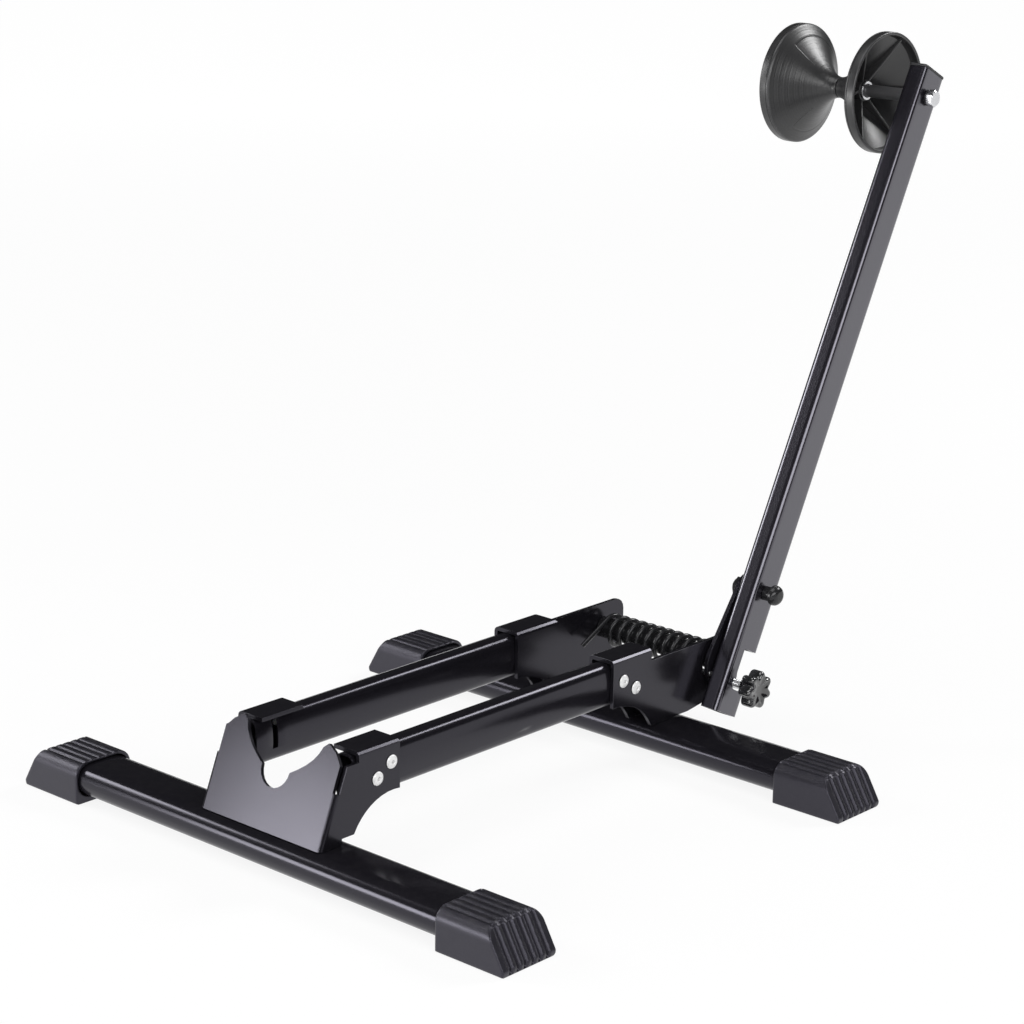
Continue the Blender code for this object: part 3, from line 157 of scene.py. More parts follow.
def makeFineDust():
    # a thin film that settles on faces turned up
    group, given, place = newGroup("fineDust", Scale=220.0, Amount=0.1)
    facing = addNode(group, 'ShaderNodeNewGeometry', (-700, 300))
    split = addNode(group, 'ShaderNodeSeparateXYZ', (-500, 300))
    group.links.new(facing.outputs['Normal'], split.inputs[0])
    upward = addRange(group, split.outputs['Z'], 0.3, 0.95, 0.15, 1.0, (-300, 300))
    specks = addNoise(group, place, given['Scale'], 6.0, (-500, 0))
    film = addRange(group, specks, 0.42, 0.75, 0.0, 1.0, (-300, 0))
    both = addMath(group, 'MULTIPLY', upward, film, (-100, 100))
    mask = addMath(group, 'MULTIPLY', both, given['Amount'], (100, 100), True)
    return closeGroup(group, Mask=mask)


def makeDrawLines():
    # long fine marks along one direction, as on drawn tube and rolled wire
    group, given, place = newGroup("drawLines", Stretch=(1.0, 1.0, 1.0),
                                   Turn=(0.0, 0.0, 0.0), Scale=900.0)
    turned = addNode(group, 'ShaderNodeVectorRotate', (-600, 0), rotation_type='EULER_XYZ')
    drawn = addNode(group, 'ShaderNodeVectorMath', (-400, 0), operation='MULTIPLY')
    for start, end in ((place, turned.inputs['Vector']),
                       (given['Turn'], turned.inputs['Rotation']),
                       (turned.outputs[0], drawn.inputs[0]),
                       (given['Stretch'], drawn.inputs[1])):
        group.links.new(start, end)
    lines = addNoise(group, drawn.outputs[0], given['Scale'], 3.0, (-200, 0))
    return closeGroup(group, Mask=addRange(group, lines, 0.35, 0.65, 0.0, 1.0, (0, 0)))


def makeTurnMarks():
    # fine rings left in a lathe-cut mould, round an axis along x
    group, given, place = newGroup("turnMarks", Axis_Y=0.0, Axis_Z=0.0, Pitch=0.0011)
    split = addNode(group, 'ShaderNodeSeparateXYZ', (-750, 0))
    group.links.new(place, split.inputs[0])
    across = addMath(group, 'SUBTRACT', split.outputs['Y'], given['Axis Y'], (-600, 100))
    up = addMath(group, 'SUBTRACT', split.outputs['Z'], given['Axis Z'], (-600, -100))
    square = addMath(group, 'ADD', addMath(group, 'MULTIPLY', across, across, (-450, 100)),
                     addMath(group, 'MULTIPLY', up, up, (-450, -100)), (-300, 0))
    radius = addMath(group, 'SQRT', square, None, (-150, 0))
    count = addMath(group, 'DIVIDE', radius, given['Pitch'], (0, 0))
    wave = addMath(group, 'SINE', addMath(group, 'MULTIPLY', count, 2 * math.pi, (120, 0)),
                   None, (240, 0))
    height = addRange(group, wave, -1.0, 1.0, 0.0, 1.0, (360, 0))
    return closeGroup(group, Height=height)


groups = {"edgeSheenAndWear": makeEdgeSheenAndWear(), "finePeel": makeFinePeel(), "fineDust": makeFineDust(),
          "drawLines": makeDrawLines(), "turnMarks": makeTurnMarks()}
print("shader groups made:", len(groups))


def useGroup(tree, name, at, **values):
    node = addNode(tree, 'ShaderNodeGroup', at, node_tree=groups[name])
    for label, value in values.items():
        node.inputs[label.replace('_', ' ')].default_value = value
    return node


def mixColor(tree, factor, first, second, at=(0, 0)):
    node = addNode(tree, 'ShaderNodeMix', at, data_type='RGBA', blend_type='MIX')
    for index, value in ((0, factor), (6, first), (7, second)):
        feed(tree, node.inputs[index], value)
    return node.outputs[2]


def makeFinish(name, look):
    # two close tones, wavering gloss, lighter edges (painted edge highlight, partly wear) and a
    # fine skin, with drawing marks, dust or turning rings where the look names them
    made = bpy.data.materials.new(name)
    made.use_nodes = True
    tree = made.node_tree
    shader = tree.nodes['Principled BSDF']
    shader.location = (600, 0)
    for label, value in (('Metallic', look.get("metallic", 0.0)),
                         ('Specular IOR Level', look.get("specular", 0.5)),
                         ('Specular Tint', look.get("tint", (1.0, 1.0, 1.0))),
                         ('Coat Weight', look.get("coat", 0.0)),
                         ('Coat Roughness', look.get("coatRoughness", 0.1))):
        feed(tree, shader.inputs[label], value)
    peel = useGroup(tree, "finePeel", (-700, -200), Scale=look["peelScale"])
    sheenAndWear = useGroup(tree, "edgeSheenAndWear", (-700, 200), Least=look["sheenAndWearLeast"])
    height = peel.outputs['Height']
    toneBy = glossBy = peel.outputs['Cloud']
    glossFrom, glossTo = 0.3, 0.7
    if "stretch" in look:
        lines = useGroup(tree, "drawLines", (-700, 0), Stretch=look["stretch"],
                         Turn=look.get("turn", (0.0, 0.0, 0.0)), Scale=look["lineScale"])
        glossBy, glossFrom, glossTo = lines.outputs['Mask'], 0.0, 1.0
        if look.get("coated"):
            toneBy = glossBy
        else:
            height = addMath(tree, 'ADD', glossBy, height, (0, -350))
    if "ringPitch" in look:
        hub = alongArm(0.0, 0.0, stand["rollerUp"])
        rings = useGroup(tree, "turnMarks", (-700, -500), Axis_Y=hub.y, Axis_Z=hub.z,
                         Pitch=look["ringPitch"])
        part = addMath(tree, 'MULTIPLY', rings.outputs['Height'], look["ringShare"])
        height = addMath(tree, 'ADD', height, part, (0, -350))
    tone = mixColor(tree, toneBy, look["color"], look["cloudColor"], (-300, 200))
    # the edges are mixed toward a lighter colour: painted edge highlight, partly wear
    sheenAndWearShare = addMath(tree, 'MULTIPLY', sheenAndWear.outputs['Mask'], look["sheenAndWear"])
    color = mixColor(tree, sheenAndWearShare, tone, look["sheenAndWearColor"], (-100, 200))
    if "dust" in look:
        dust = useGroup(tree, "fineDust", (-700, 400), Amount=look["dust"])
        color = mixColor(tree, dust.outputs['Mask'], color, look["dustColor"], (100, 200))
    gloss = addRange(tree, glossBy, glossFrom, glossTo, look["roughness"] - look["cloudy"],
                     look["roughness"] + look["cloudy"], (0, -100))
    bump = addNode(tree, 'ShaderNodeBump', (350, -350))
    bump.inputs['Distance'].default_value = look["peelDepth"]
    bump.inputs['Strength'].default_value = 1.0
    for start, end in ((color, shader.inputs['Base Color']),
                       (gloss, shader.inputs['Roughness']), (height, bump.inputs['Height']),
                       (bump.outputs['Normal'], shader.inputs['Normal'])):
        tree.links.new(start, end)
    return made


coatLook = {
    "tint": (0.86, 0.83, 1.0),
    "color": (0.0075, 0.007, 0.0092), "cloudColor": (0.008, 0.0075, 0.0098),
    "roughness": 0.18, "cloudy": 0.006, "specular": 0.44,
    "peelScale": 900.0, "peelDepth": 0.0000025,
    # the lighter edge colour below is painted edge highlight, partly wear
    "sheenAndWear": 0.8, "sheenAndWearLeast": 0.5, "sheenAndWearColor": (0.17, 0.17, 0.18),
    "dust": 0.02, "dustColor": (0.16, 0.155, 0.15),
}
# the arm's copy of the black powder coat: its slightly lighter colour is painted light for the
# brighter tube side
armPaintedLighterLook = {
    "tint": (0.86, 0.83, 1.0),
    "color": (0.0085, 0.0078, 0.0105), "cloudColor": (0.0095, 0.0088, 0.0115),
    "roughness": 0.2, "cloudy": 0.006, "specular": 1.0, "coat": 0.7, "coatRoughness": 0.15,
    "peelScale": 900.0, "peelDepth": 0.0000025,
    "stretch": (1.0, 1.0, 0.012), "turn": (stand["lean"], 0.0, 0.0), "lineScale": 700.0,
    "coated": True,
    "sheenAndWear": 0.5, "sheenAndWearLeast": 0.4, "sheenAndWearColor": (0.07, 0.07, 0.078),
}
capLook = {
    "tint": (0.86, 0.83, 1.0),
    "color": (0.0115, 0.011, 0.0145), "cloudColor": (0.0135, 0.013, 0.017),
    "roughness": 0.38, "cloudy": 0.03, "specular": 0.55,
    "peelScale": 1300.0, "peelDepth": 0.000018,
    "sheenAndWear": 0.4, "sheenAndWearLeast": 0.4, "sheenAndWearColor": (0.07, 0.07, 0.075),
    "dust": 0.12, "dustColor": (0.15, 0.145, 0.14),
}
rollerLook = {
    "color": (0.019, 0.019, 0.020), "cloudColor": (0.023, 0.023, 0.024),
    "roughness": 0.34, "cloudy": 0.03, "specular": 0.6,
    "peelScale": 1600.0, "peelDepth": 0.000012,
    "sheenAndWear": 0.35, "sheenAndWearLeast": 0.4, "sheenAndWearColor": (0.1, 0.1, 0.105),
    "dust": 0.05, "dustColor": (0.16, 0.155, 0.15),
    "ringPitch": 0.0011, "ringShare": 1.1,
}
knobLook = {
    "color": (0.009, 0.009, 0.01), "cloudColor": (0.012, 0.012, 0.013),
    "roughness": 0.13, "cloudy": 0.02, "specular": 1.0, "coat": 0.6,
    "peelScale": 900.0, "peelDepth": 0.000006,
    "sheenAndWear": 0.5, "sheenAndWearLeast": 0.3, "sheenAndWearColor": (0.06, 0.06, 0.065),
    "dust": 0.03, "dustColor": (0.14, 0.14, 0.14),
}
plugLook = dict(knobLook, color=(0.016, 0.016, 0.018), cloudColor=(0.022, 0.022, 0.024),
                roughness=0.4, specular=0.6, coat=0.0, peelScale=1500.0, peelDepth=0.00002)
zincLook = {
    "color": (0.66, 0.67, 0.69), "cloudColor": (0.74, 0.74, 0.75), "metallic": 1.0,
    "roughness": 0.26, "cloudy": 0.07, "stretch": (0.05, 1.0, 1.0), "lineScale": 2600.0,
    "peelScale": 900.0, "peelDepth": 0.000008, "sheenAndWear": 0.5, "sheenAndWearLeast": 0.5,
    "sheenAndWearColor": (0.85, 0.85, 0.86),
}
blackSteelLook = {
    "color": (0.02, 0.02, 0.022), "cloudColor": (0.028, 0.028, 0.03), "metallic": 0.35,
    "roughness": 0.24, "cloudy": 0.05, "stretch": (1.0, 1.0, 1.0), "lineScale": 900.0,
    "peelScale": 1200.0, "peelDepth": 0.00001, "sheenAndWear": 0.4, "sheenAndWearLeast": 0.5,
    "sheenAndWearColor": (0.12, 0.12, 0.125),
}
# the sleeve's colour is raised well above black steel's: painted light, making up for the shade
# it sits in
sleevePaintedLightLook = dict(blackSteelLook, color=(0.12, 0.12, 0.125), cloudColor=(0.14, 0.14, 0.145),
                  roughness=0.36, metallic=0.5, peelDepth=0.000003)
alloyLook = {
    "color": (0.92, 0.92, 0.92), "cloudColor": (0.95, 0.95, 0.95), "metallic": 0.15,
    "roughness": 0.34, "cloudy": 0.06, "stretch": (0.1, 1.0, 1.0), "lineScale": 1800.0,
    "peelScale": 1100.0, "peelDepth": 0.000008, "sheenAndWear": 0.3, "sheenAndWearLeast": 0.5,
    "sheenAndWearColor": (0.9, 0.9, 0.9),
}
finishLooks = {
    "coat": ("blackPowderCoat", coatLook, "powder_coat"),
    "arm": ("armPowderCoat", armPaintedLighterLook, "powder_coat"),
    "cap": ("footRubber", capLook, "cap_rubber"),
    "roller": ("rollerNylon", rollerLook, "black_plastic"),
    "knob": ("knobGloss", knobLook, "black_plastic"),
    "plug": ("plugPlastic", plugLook, "black_plastic"),
    "zinc": ("zincPlate", zincLook, "zinc"),
    "blackSteel": ("oiledSteel", blackSteelLook, "black_steel"),
    "sleeve": ("sleeveSteelPaintedLight", sleevePaintedLightLook, "black_steel"),
    "alloy": ("rivetAlloy", alloyLook, "rivet_alloy"),
}
finishes = {key: makeFinish(name, look) for key, (name, look, slot) in finishLooks.items()}
print("finishes made:", len(finishes))


def placeObject(name, data):
    made = bpy.data.objects.new(name, data)
    bpy.context.scene.collection.objects.link(made)
    return made


def startMesh():
    # a working mesh whose vertices carry the edge mask: painted edge highlight, partly wear
    bm = bmesh.new()
    return bm, bm.verts.layers.float.new("sheenAndWear")


def closeMesh(name, bm, turnOut=True):
    if turnOut:
        bmesh.ops.recalc_face_normals(bm, faces=bm.faces)
    data = bpy.data.meshes.new(name)
    bm.to_mesh(data)
    bm.free()
    return data


def meshOf(verts, faces):
    made = bpy.data.meshes.new("working")
    made.from_pydata([tuple(vert) for vert in verts], [], faces)
    bm = bmesh.new()
    bm.from_mesh(made)
    bpy.data.meshes.remove(made)
    return bm


def bridgeRows(bm, rows):
    # quads between closed rows of vertices, and a face over each end
    for first, second in zip(rows, rows[1:]):
        for index in range(len(first)):
            follow = (index + 1) % len(first)
            bm.faces.new((first[index], first[follow], second[follow], second[index]))
    bm.faces.new(rows[0])
    bm.faces.new(list(reversed(rows[-1])))


def tubeMesh(name, verts, sides):
    # rings of vertices joined into one closed tube
    faces, last = [], len(verts) - sides
    for start in range(0, last, sides):
        for step in range(sides):
            follow = (step + 1) % sides
            faces.append((start + step, start + follow, start + sides + follow,
                          start + sides + step))
    faces += [tuple(reversed(range(sides))), tuple(range(last, last + sides))]
    return closeMesh(name, meshOf(verts, faces))


def bend(start, middle, end, share):
    return start * (1 - share) ** 2 + middle * 2 * share * (1 - share) + end * share ** 2


def held(value):
    return min(1.0, max(0.0, value))


def aboutX(x, radius, angle):
    return Vector((x, radius * math.cos(angle), radius * math.sin(angle)))


def addPiece(node, data, body, finish, smooth=40.0, firmFaces=True):
    # a finished mesh takes its place on its body and stands for its solid
    data.materials.clear()
    data.materials.append(finishes[finish])
    for face in data.polygons:
        face.use_smooth = True
    data.set_sharp_from_angle(angle=math.radians(smooth))
    piece = placeObject(f"{node}_piece", data)
    if firmFaces:
        firm = piece.modifiers.new("firmFaces", 'WEIGHTED_NORMAL')
        firm.keep_sharp = True
        firm.weight = 60
    if body:
        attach(piece, body)
    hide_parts(node)
    return piece


def solidCopy(node):
    # the solid's own surface, with its triangles joined into flat faces
    bm = bmesh.new()
    bm.from_mesh(nodes[node].data)
    bmesh.ops.remove_doubles(bm, verts=bm.verts, dist=2e-6)
    bmesh.ops.dissolve_limit(bm, angle_limit=math.radians(0.6), verts=bm.verts,
                             edges=bm.edges)
    return bm


def roundOver(bm, edge, steps=3, least=30.0):
    # rounds the crisp edges and marks the new strips for the painted edge highlight, partly wear
    crisp = [line for line in bm.edges if line.is_manifold
             and line.calc_face_angle(0.0) > math.radians(least)]
    layer = bm.verts.layers.float.new("sheenAndWear")
    made = bmesh.ops.bevel(bm, geom=crisp, offset=edge, segments=steps, profile=0.5,
                           affect='EDGES', clamp_overlap=True, loop_slide=True)
    bm.normal_update()
    strips = set(made["faces"])
    for vert in bm.verts:
        turns = [line.calc_face_angle_signed(0.0) for line in vert.link_edges
                 if line.is_manifold]
        inside = all(face in strips for face in vert.link_faces)
        vert[layer] = 1.0 if turns and inside and max(turns) > math.radians(8) else 0.0


def softened(node, body, finish, edge):
    # a copy of the solid with its crisp edges rounded over
    bm = solidCopy(node)
    roundOver(bm, edge)
    addPiece(node, closeMesh(f"{node}_rounded", bm, False), body, finish)


def cutAcross(bm, point, normal):
    bmesh.ops.bisect_plane(bm, geom=bm.verts[:] + bm.edges[:] + bm.faces[:], dist=1e-7,
                           plane_co=point, plane_no=normal)


def drawnTube(node, body, finish, toLocal, look):
    # a tube's copy with fuller corners and slightly crowned walls, as rolled tube has
    bm = solidCopy(node)
    bm.transform(toLocal)
    halfWide, halfHigh = look["half"]
    old, new = look["solidCorner"], look["corner"]
    crownWide, crownHigh = look["crown"]
    for normal, reach in ((Vector((1.0, 0.0, 0.0)), halfWide - new),
                          (Vector((0.0, 1.0, 0.0)), halfHigh - new)):
        for step in range(-2, 3):
            cutAcross(bm, normal * reach * step * 0.36, normal)
    ends = [vert.co.z for vert in bm.verts]
    low, count = min(ends), round((max(ends) - min(ends)) / look["cut"])
    for index in range(1, count):
        height = low + (max(ends) - low) * index / count
        cutAcross(bm, Vector((0.0, 0.0, height)), Vector((0.0, 0.0, 1.0)))
    near = 0.00003
    slack = old * 0.025 + near
    for vert in bm.verts:
        x, y = abs(vert.co.x), abs(vert.co.y)
        signX, signY = math.copysign(1.0, vert.co.x), math.copysign(1.0, vert.co.y)
        inX, inY = x - (halfWide - old), y - (halfHigh - old)
        if inX > -1e-6 and inY > -1e-6 and abs(math.hypot(inX, inY) - old) < slack:
            turn = math.atan2(inY, inX)
            x = halfWide - new + new * math.cos(turn) - crownWide * math.cos(turn) ** 2
            y = halfHigh - new + new * math.sin(turn) - crownHigh * math.sin(turn) ** 2
        elif abs(x - halfWide) < near:
            x = halfWide - crownWide * min(1.0, y / (halfHigh - new)) ** 2
        elif abs(y - halfHigh) < near:
            y = halfHigh - crownHigh * min(1.0, x / (halfWide - new)) ** 2
        vert.co.x, vert.co.y = signX * x, signY * y
    bm.transform(toLocal.inverted())
    bmesh.ops.recalc_face_normals(bm, faces=bm.faces)
    roundOver(bm, look["edge"], 2, 42.0)
    data = closeMesh(f"{node}_drawn", bm, False)
    addPiece(node, data, body, finish, firmFaces=look["firm"])


def latheMesh(name, profile, sides, centre, sheenAndWearValues=None, closed=True, extra=(), mark=None):
    # a profile of (x, radius) turned round the x axis
    verts, faces, sheenAndWear = [], [], []
    count = len(profile)
    angles = sorted([2 * math.pi * index / sides for index in range(sides)] + list(extra))
    for angle in angles:
        for place, (x, radius) in enumerate(profile):
            radius -= mark(place, angle) if mark else 0.0
            verts.append(centre + aboutX(x, radius, angle))
            sheenAndWear.append(sheenAndWearValues[place] if sheenAndWearValues else 0.0)
    last = count if closed else count - 1
    for index in range(len(angles)):
        here, there = index * count, (index + 1) % len(angles) * count
        for place in range(last):
            follow = (place + 1) % count
            faces.append((here + place, here + follow, there + follow, there + place))
    bm = meshOf(verts, faces)
    layer = bm.verts.layers.float.new("sheenAndWear")
    for vert, value in zip(bm.verts, sheenAndWear):
        vert[layer] = value
    bmesh.ops.remove_doubles(bm, verts=bm.verts, dist=1e-7)
    return closeMesh(name, bm)


bracketPieces = {
    "front_bracket": ("base", "coat", 0.00055), "rear_bracket_left": ("base", "coat", 0.00055),
    "rear_bracket_right": ("base", "coat", 0.00055), "arm_lever": ("lever", "coat", 0.00055),
    "knob_boss": ("arm", "coat", 0.0003),
}
for node, look in bracketPieces.items():
    softened(node, *look)
print("folded brackets made")

alongBar = Matrix(((0, 1, 0, 0), (0, 0, 1, 0), (1, 0, 0, 0), (0, 0, 0, 1)))
alongRail = Matrix(((1, 0, 0, 0), (0, 0, 1, 0), (0, -1, 0, 0), (0, 0, 0, 1)))
crossbarLook = {"half": (0.0190, 0.0100), "solidCorner": 0.008, "corner": 0.0092,
                "crown": (0.0, 0.00025), "edge": 0.0003, "cut": 0.010, "firm": False}
railLook = {"half": (0.0075, 0.0143), "solidCorner": 0.005, "corner": 0.0060,
            "crown": (0.0007, 0.0), "edge": 0.0003, "cut": 0.008, "firm": False}
armTubeLook = {"half": (0.0070, 0.0123), "solidCorner": 0.0022, "corner": 0.0032,
               "crown": (0.0, 0.0), "edge": 0.00035, "cut": 0.020, "firm": True}
for row, barY in stand["barY"].items():
    place = alongBar @ Matrix.Translation((0.0, -barY, -stand["barZ"]))
    drawnTube(f"{row}_crossbar", "base", "coat", place, crossbarLook)
for label, side in handed.items():
    place = alongRail @ Matrix.Translation((-side * stand["railX"], 0.0, -stand["railZ"]))
    drawnTube(f"rail_{label}", "base", "coat", place, railLook)
place = (Matrix.Translation((-stand["armX"], 0.0, 0.0)) @ armTurn.inverted()
         @ Matrix.Translation(-stand["axle"]))
drawnTube("upright_tube", "arm", "arm", place, armTubeLook)
print("tubes made")

# a soft rubber boot, with grooves pressed into it
capSizes = {
    "length": 0.0500, "depth": 0.0426, "height": 0.0263, "toeHeight": 0.0035,
    "toeBack": 0.0008, "topBack": 0.0135, "shoulder": 0.0022, "sideCorner": 0.0090,
    "soleCorner": 0.0015, "barDepth": 0.0386, "barHeight": 0.0206, "barCorner": 0.0083,
    "endWall": 0.0152, "past": 0.01, "grooves": 6, "pitch": 0.0058, "grooveWidth": 0.0027,
    "topDepth": 0.0014, "toeDepth": 0.0026, "grooveStart": 0.0002, "soleClear": 0.0004,
    "fade": 0.0008, "grain": 0.00055, "softening": 7, "keep": 0.4, "soleBand": 0.001,
}


def roundedSection(wide, high, corner, lower=None):
    # outline of (across, up) about its middle, round at the corners
    spots, steps = [], 8
    lower = corner if lower is None else lower
    for turn, radius, signX, signY in ((0, corner, 1, 1), (1, corner, -1, 1),
                                       (2, lower, -1, -1), (3, lower, 1, -1)):
        for step in range(steps + 1):
            angle = math.pi / 2 * (turn + step / steps)
            spots.append((signX * (wide / 2 - radius) + radius * math.cos(angle),
                          signY * (high / 2 - radius) + radius * math.sin(angle)))
    return spots


def straightBlock(name, outline, axis, start, end):
    # an outline pushed along x (outline is y, z) or along y (outline is x, z)
    bm = bmesh.new()
    bridgeRows(bm, [[bm.verts.new((reach, a, b) if axis == 'X' else (a, reach, b))
                     for a, b in outline] for reach in (start, end)])
    return placeObject(name, closeMesh(name, bm))


def shapedMesh(name, made, helpers=()):
    # the mesh after its modifiers; the working objects are then removed
    bpy.context.view_layer.update()
    data = bpy.data.meshes.new_from_object(
        made.evaluated_get(bpy.context.evaluated_depsgraph_get()))
    data.name = name
    for item in (made, *helpers):
        bpy.data.objects.remove(item)
    return data


def capBlank():
    sizes = capSizes
    section = [(across, sizes["height"] / 2 + up) for across, up in roundedSection(
        sizes["depth"], sizes["height"], sizes["sideCorner"], sizes["soleCorner"])]
    blank = straightBlock("capBlank", section, 'X', 0.0, sizes["length"])
    slope = Vector((-sizes["topBack"], sizes["height"] - sizes["toeHeight"])).normalized()
    crest = Vector((sizes["length"] - sizes["topBack"], sizes["height"]))
    past = sizes["past"]
    side = [(-past, -0.001), (sizes["length"] - sizes["toeBack"], -0.001),
            (sizes["length"] - sizes["toeBack"], 0.0), (sizes["length"], sizes["toeHeight"]),
            tuple(crest - slope * sizes["shoulder"]),
            (crest.x - sizes["shoulder"], crest.y + 0.0001), (-past, sizes["height"] + 0.0001)]
    envelope = straightBlock("capEnvelope", side, 'Y', -0.05, 0.05)
    bar = [(across, stand["barZ"] + up) for across, up in roundedSection(
        sizes["barDepth"], sizes["barHeight"], sizes["barCorner"])]
    socket = straightBlock("capSocket", bar, 'X', -past, sizes["length"] - sizes["endWall"])
    for tool, operation in ((envelope, 'INTERSECT'), (socket, 'DIFFERENCE')):
        change = blank.modifiers.new(tool.name, 'BOOLEAN')
        change.operation, change.solver, change.object = operation, 'EXACT', tool
    grain = blank.modifiers.new("rubberGrain", 'REMESH')
    grain.mode, grain.voxel_size = 'VOXEL', sizes["grain"]
    soft = blank.modifiers.new("softCorners", 'SMOOTH')
    soft.factor, soft.iterations = 0.5, sizes["softening"]
    return shapedMesh("capBlank", blank, (envelope, socket)), slope


def pressGrooves(data, slope):
    # grooves run over the top and down the toe, fading in at the bar's end
    sizes = capSizes
    data.update()
    span = sizes["grooves"] * sizes["pitch"] / 2
    out = Vector((slope.y, -slope.x))
    pressed = []
    for vert in data.vertices:
        x, y, z = vert.co
        normal = vert.normal
        onTop = max(0.0, normal.z)
        onToe = max(0.0, normal.x * out.x + normal.z * out.y)
        facing = held((max(onTop, onToe) - 0.35) / 0.3)
        toeShare = held((onToe - onTop) * 2.0 + 0.4)
        most = sizes["topDepth"] + (sizes["toeDepth"] - sizes["topDepth"]) * toeShare
        start = held((x - sizes["grooveStart"]) / sizes["fade"])
        end = held((z - sizes["soleClear"]) / sizes["fade"])
        offset = (y + span) % sizes["pitch"] - sizes["pitch"] / 2
        share = max(0.0, 1 - (2 * offset / sizes["grooveWidth"]) ** 2) ** 0.6
        inside = 1.0 if abs(y) < span else 0.0
        depth = most * share * inside * facing * start * end
        pressed.append(vert.co - normal * depth)
    for vert, spot in zip(data.vertices, pressed):
        vert.co = spot
    data.update()


def makeCaps():
    sizes = capSizes
    blank, slope = capBlank()
    pressGrooves(blank, slope)
    thinned = placeObject("capThinned", blank)
    thinned.modifiers.new("fewerFaces", 'DECIMATE').ratio = sizes["keep"]
    boot = shapedMesh("capBoot", thinned)
    for row, barY in stand["barY"].items():
        for label, side in handed.items():
            data = boot.copy()
            data.name = f"cap_{row}_{label}"
            turn = Matrix.Rotation(0.0 if side > 0 else math.pi, 4, 'Z')
            inset = stand["halfWidth"] - sizes["length"]
            data.transform(Matrix.Translation((0.0, barY, 0.0)) @ turn
                           @ Matrix.Translation((inset, 0.0, 0.0)))
            # the sole is set down on the floor
            sole = min(vert.co.z for vert in data.vertices)
            for vert in data.vertices:
                if vert.co.z < sizes["soleBand"]:
                    vert.co.z = max(0.0, vert.co.z - sole)
            node = f"foot_cap_{row}_{label}"
            addPiece(node, data, "base", "cap", 75.0, False)


makeCaps()
print("foot caps pressed")

rivetSizes = {"head": 0.0042, "height": 0.0014, "hole": 0.0011, "holeLip": 0.0003,
              "pinDepth": 0.0028, "domeDrop": 0.72, "shank": 0.0020, "bulb": 0.0027,
              "bulbLength": 0.0035, "gap": 0.0003, "wall": 0.0461, "sides": 40}
rivetPlaces = {"front": ((0.0465, 0.0638), (0.0352, 0.0566)),      # behind the bar, height
               "rear": ((-0.0462, 0.0609), (-0.0341, 0.0537))}


def makeRivet(node, side, y, z):
    sizes = rivetSizes
    hole, wall, head = sizes["hole"], sizes["wall"], sizes["head"]
    seat = stand["plateOuter"] + sizes["gap"]
    top = seat + sizes["height"]
    pin = top - sizes["pinDepth"]
    profile = [(pin, 0.0), (pin - 0.0001, hole * 0.55), (pin - 0.0003, hole * 0.8),
               (pin - 0.0006, hole), (top - 0.0004, hole), (top - 0.0001, hole + 0.0001)]
    for step in range(9):
        share = step / 8
        radius = (hole + sizes["holeLip"]
                  + (head - 0.00015 - hole - sizes["holeLip"]) * share)
        profile.append((top - sizes["height"] * sizes["domeDrop"] * share ** 2.4, radius))
    profile += [(seat + 0.00012, head), (seat, head - 0.0001), (seat, sizes["shank"]),
                (wall, sizes["shank"]), (wall, sizes["bulb"]),
                (wall - sizes["bulbLength"] * 0.7, sizes["bulb"] * 0.98),
                (wall - sizes["bulbLength"], sizes["bulb"] * 0.7),
                (wall - sizes["bulbLength"], 0.0)]
    mirrored = [(side * x, radius) for x, radius in profile]
    data = latheMesh(node, mirrored, sizes["sides"], Vector((0.0, y, z)), closed=False)
    addPiece(node, data, "base", "alloy", 50.0, False)


for row, barY in stand["barY"].items():
    for label, side in handed.items():
        for index, (back, height) in enumerate(rivetPlaces[row], 1):
            makeRivet(f"rivet_{row}_{label}_{index}", side, barY + back, height)
print("rivets made")

# one wire with a hooked left leg, coils and a right leg
springSizes = {
    "wire": 0.0016, "radius": 0.0096, "left": -0.0400, "right": 0.0415, "turns": 10,
    "leftAngle": math.radians(117.0), "leftLeg": 0.0420, "bend": 0.0040,
    "pinAngle": math.radians(-160.0), "pinOrbit": 0.0142, "pinRadius": 0.0018,
    "gap": 0.0003, "overrun": 0.0040, "perTurn": 44, "sides": 14,
}


def wireMesh(name, points, radius, sides):
    # sweeps a round section along the points without twisting it
    verts = []
    ahead = (points[1] - points[0]).normalized()
    side = ahead.orthogonal().normalized()
    for index, point in enumerate(points):
        before = points[max(index - 1, 0)]
        after = points[min(index + 1, len(points) - 1)]
        turned = (after - before).normalized()
        side = ahead.rotation_difference(turned) @ side
        side = (side - turned * side.dot(turned)).normalized()
        ahead = turned
        other = ahead.cross(side)
        for step in range(sides):
            angle = 2 * math.pi * step / sides
            verts.append(point + (side * math.cos(angle) + other * math.sin(angle)) * radius)
    return tubeMesh(name, verts, sides)


def aroundAxle(x, angle, radius):
    # angles are read from the right side, with 0 to the rear
    return stand["axle"] + aboutX(x, radius, angle)


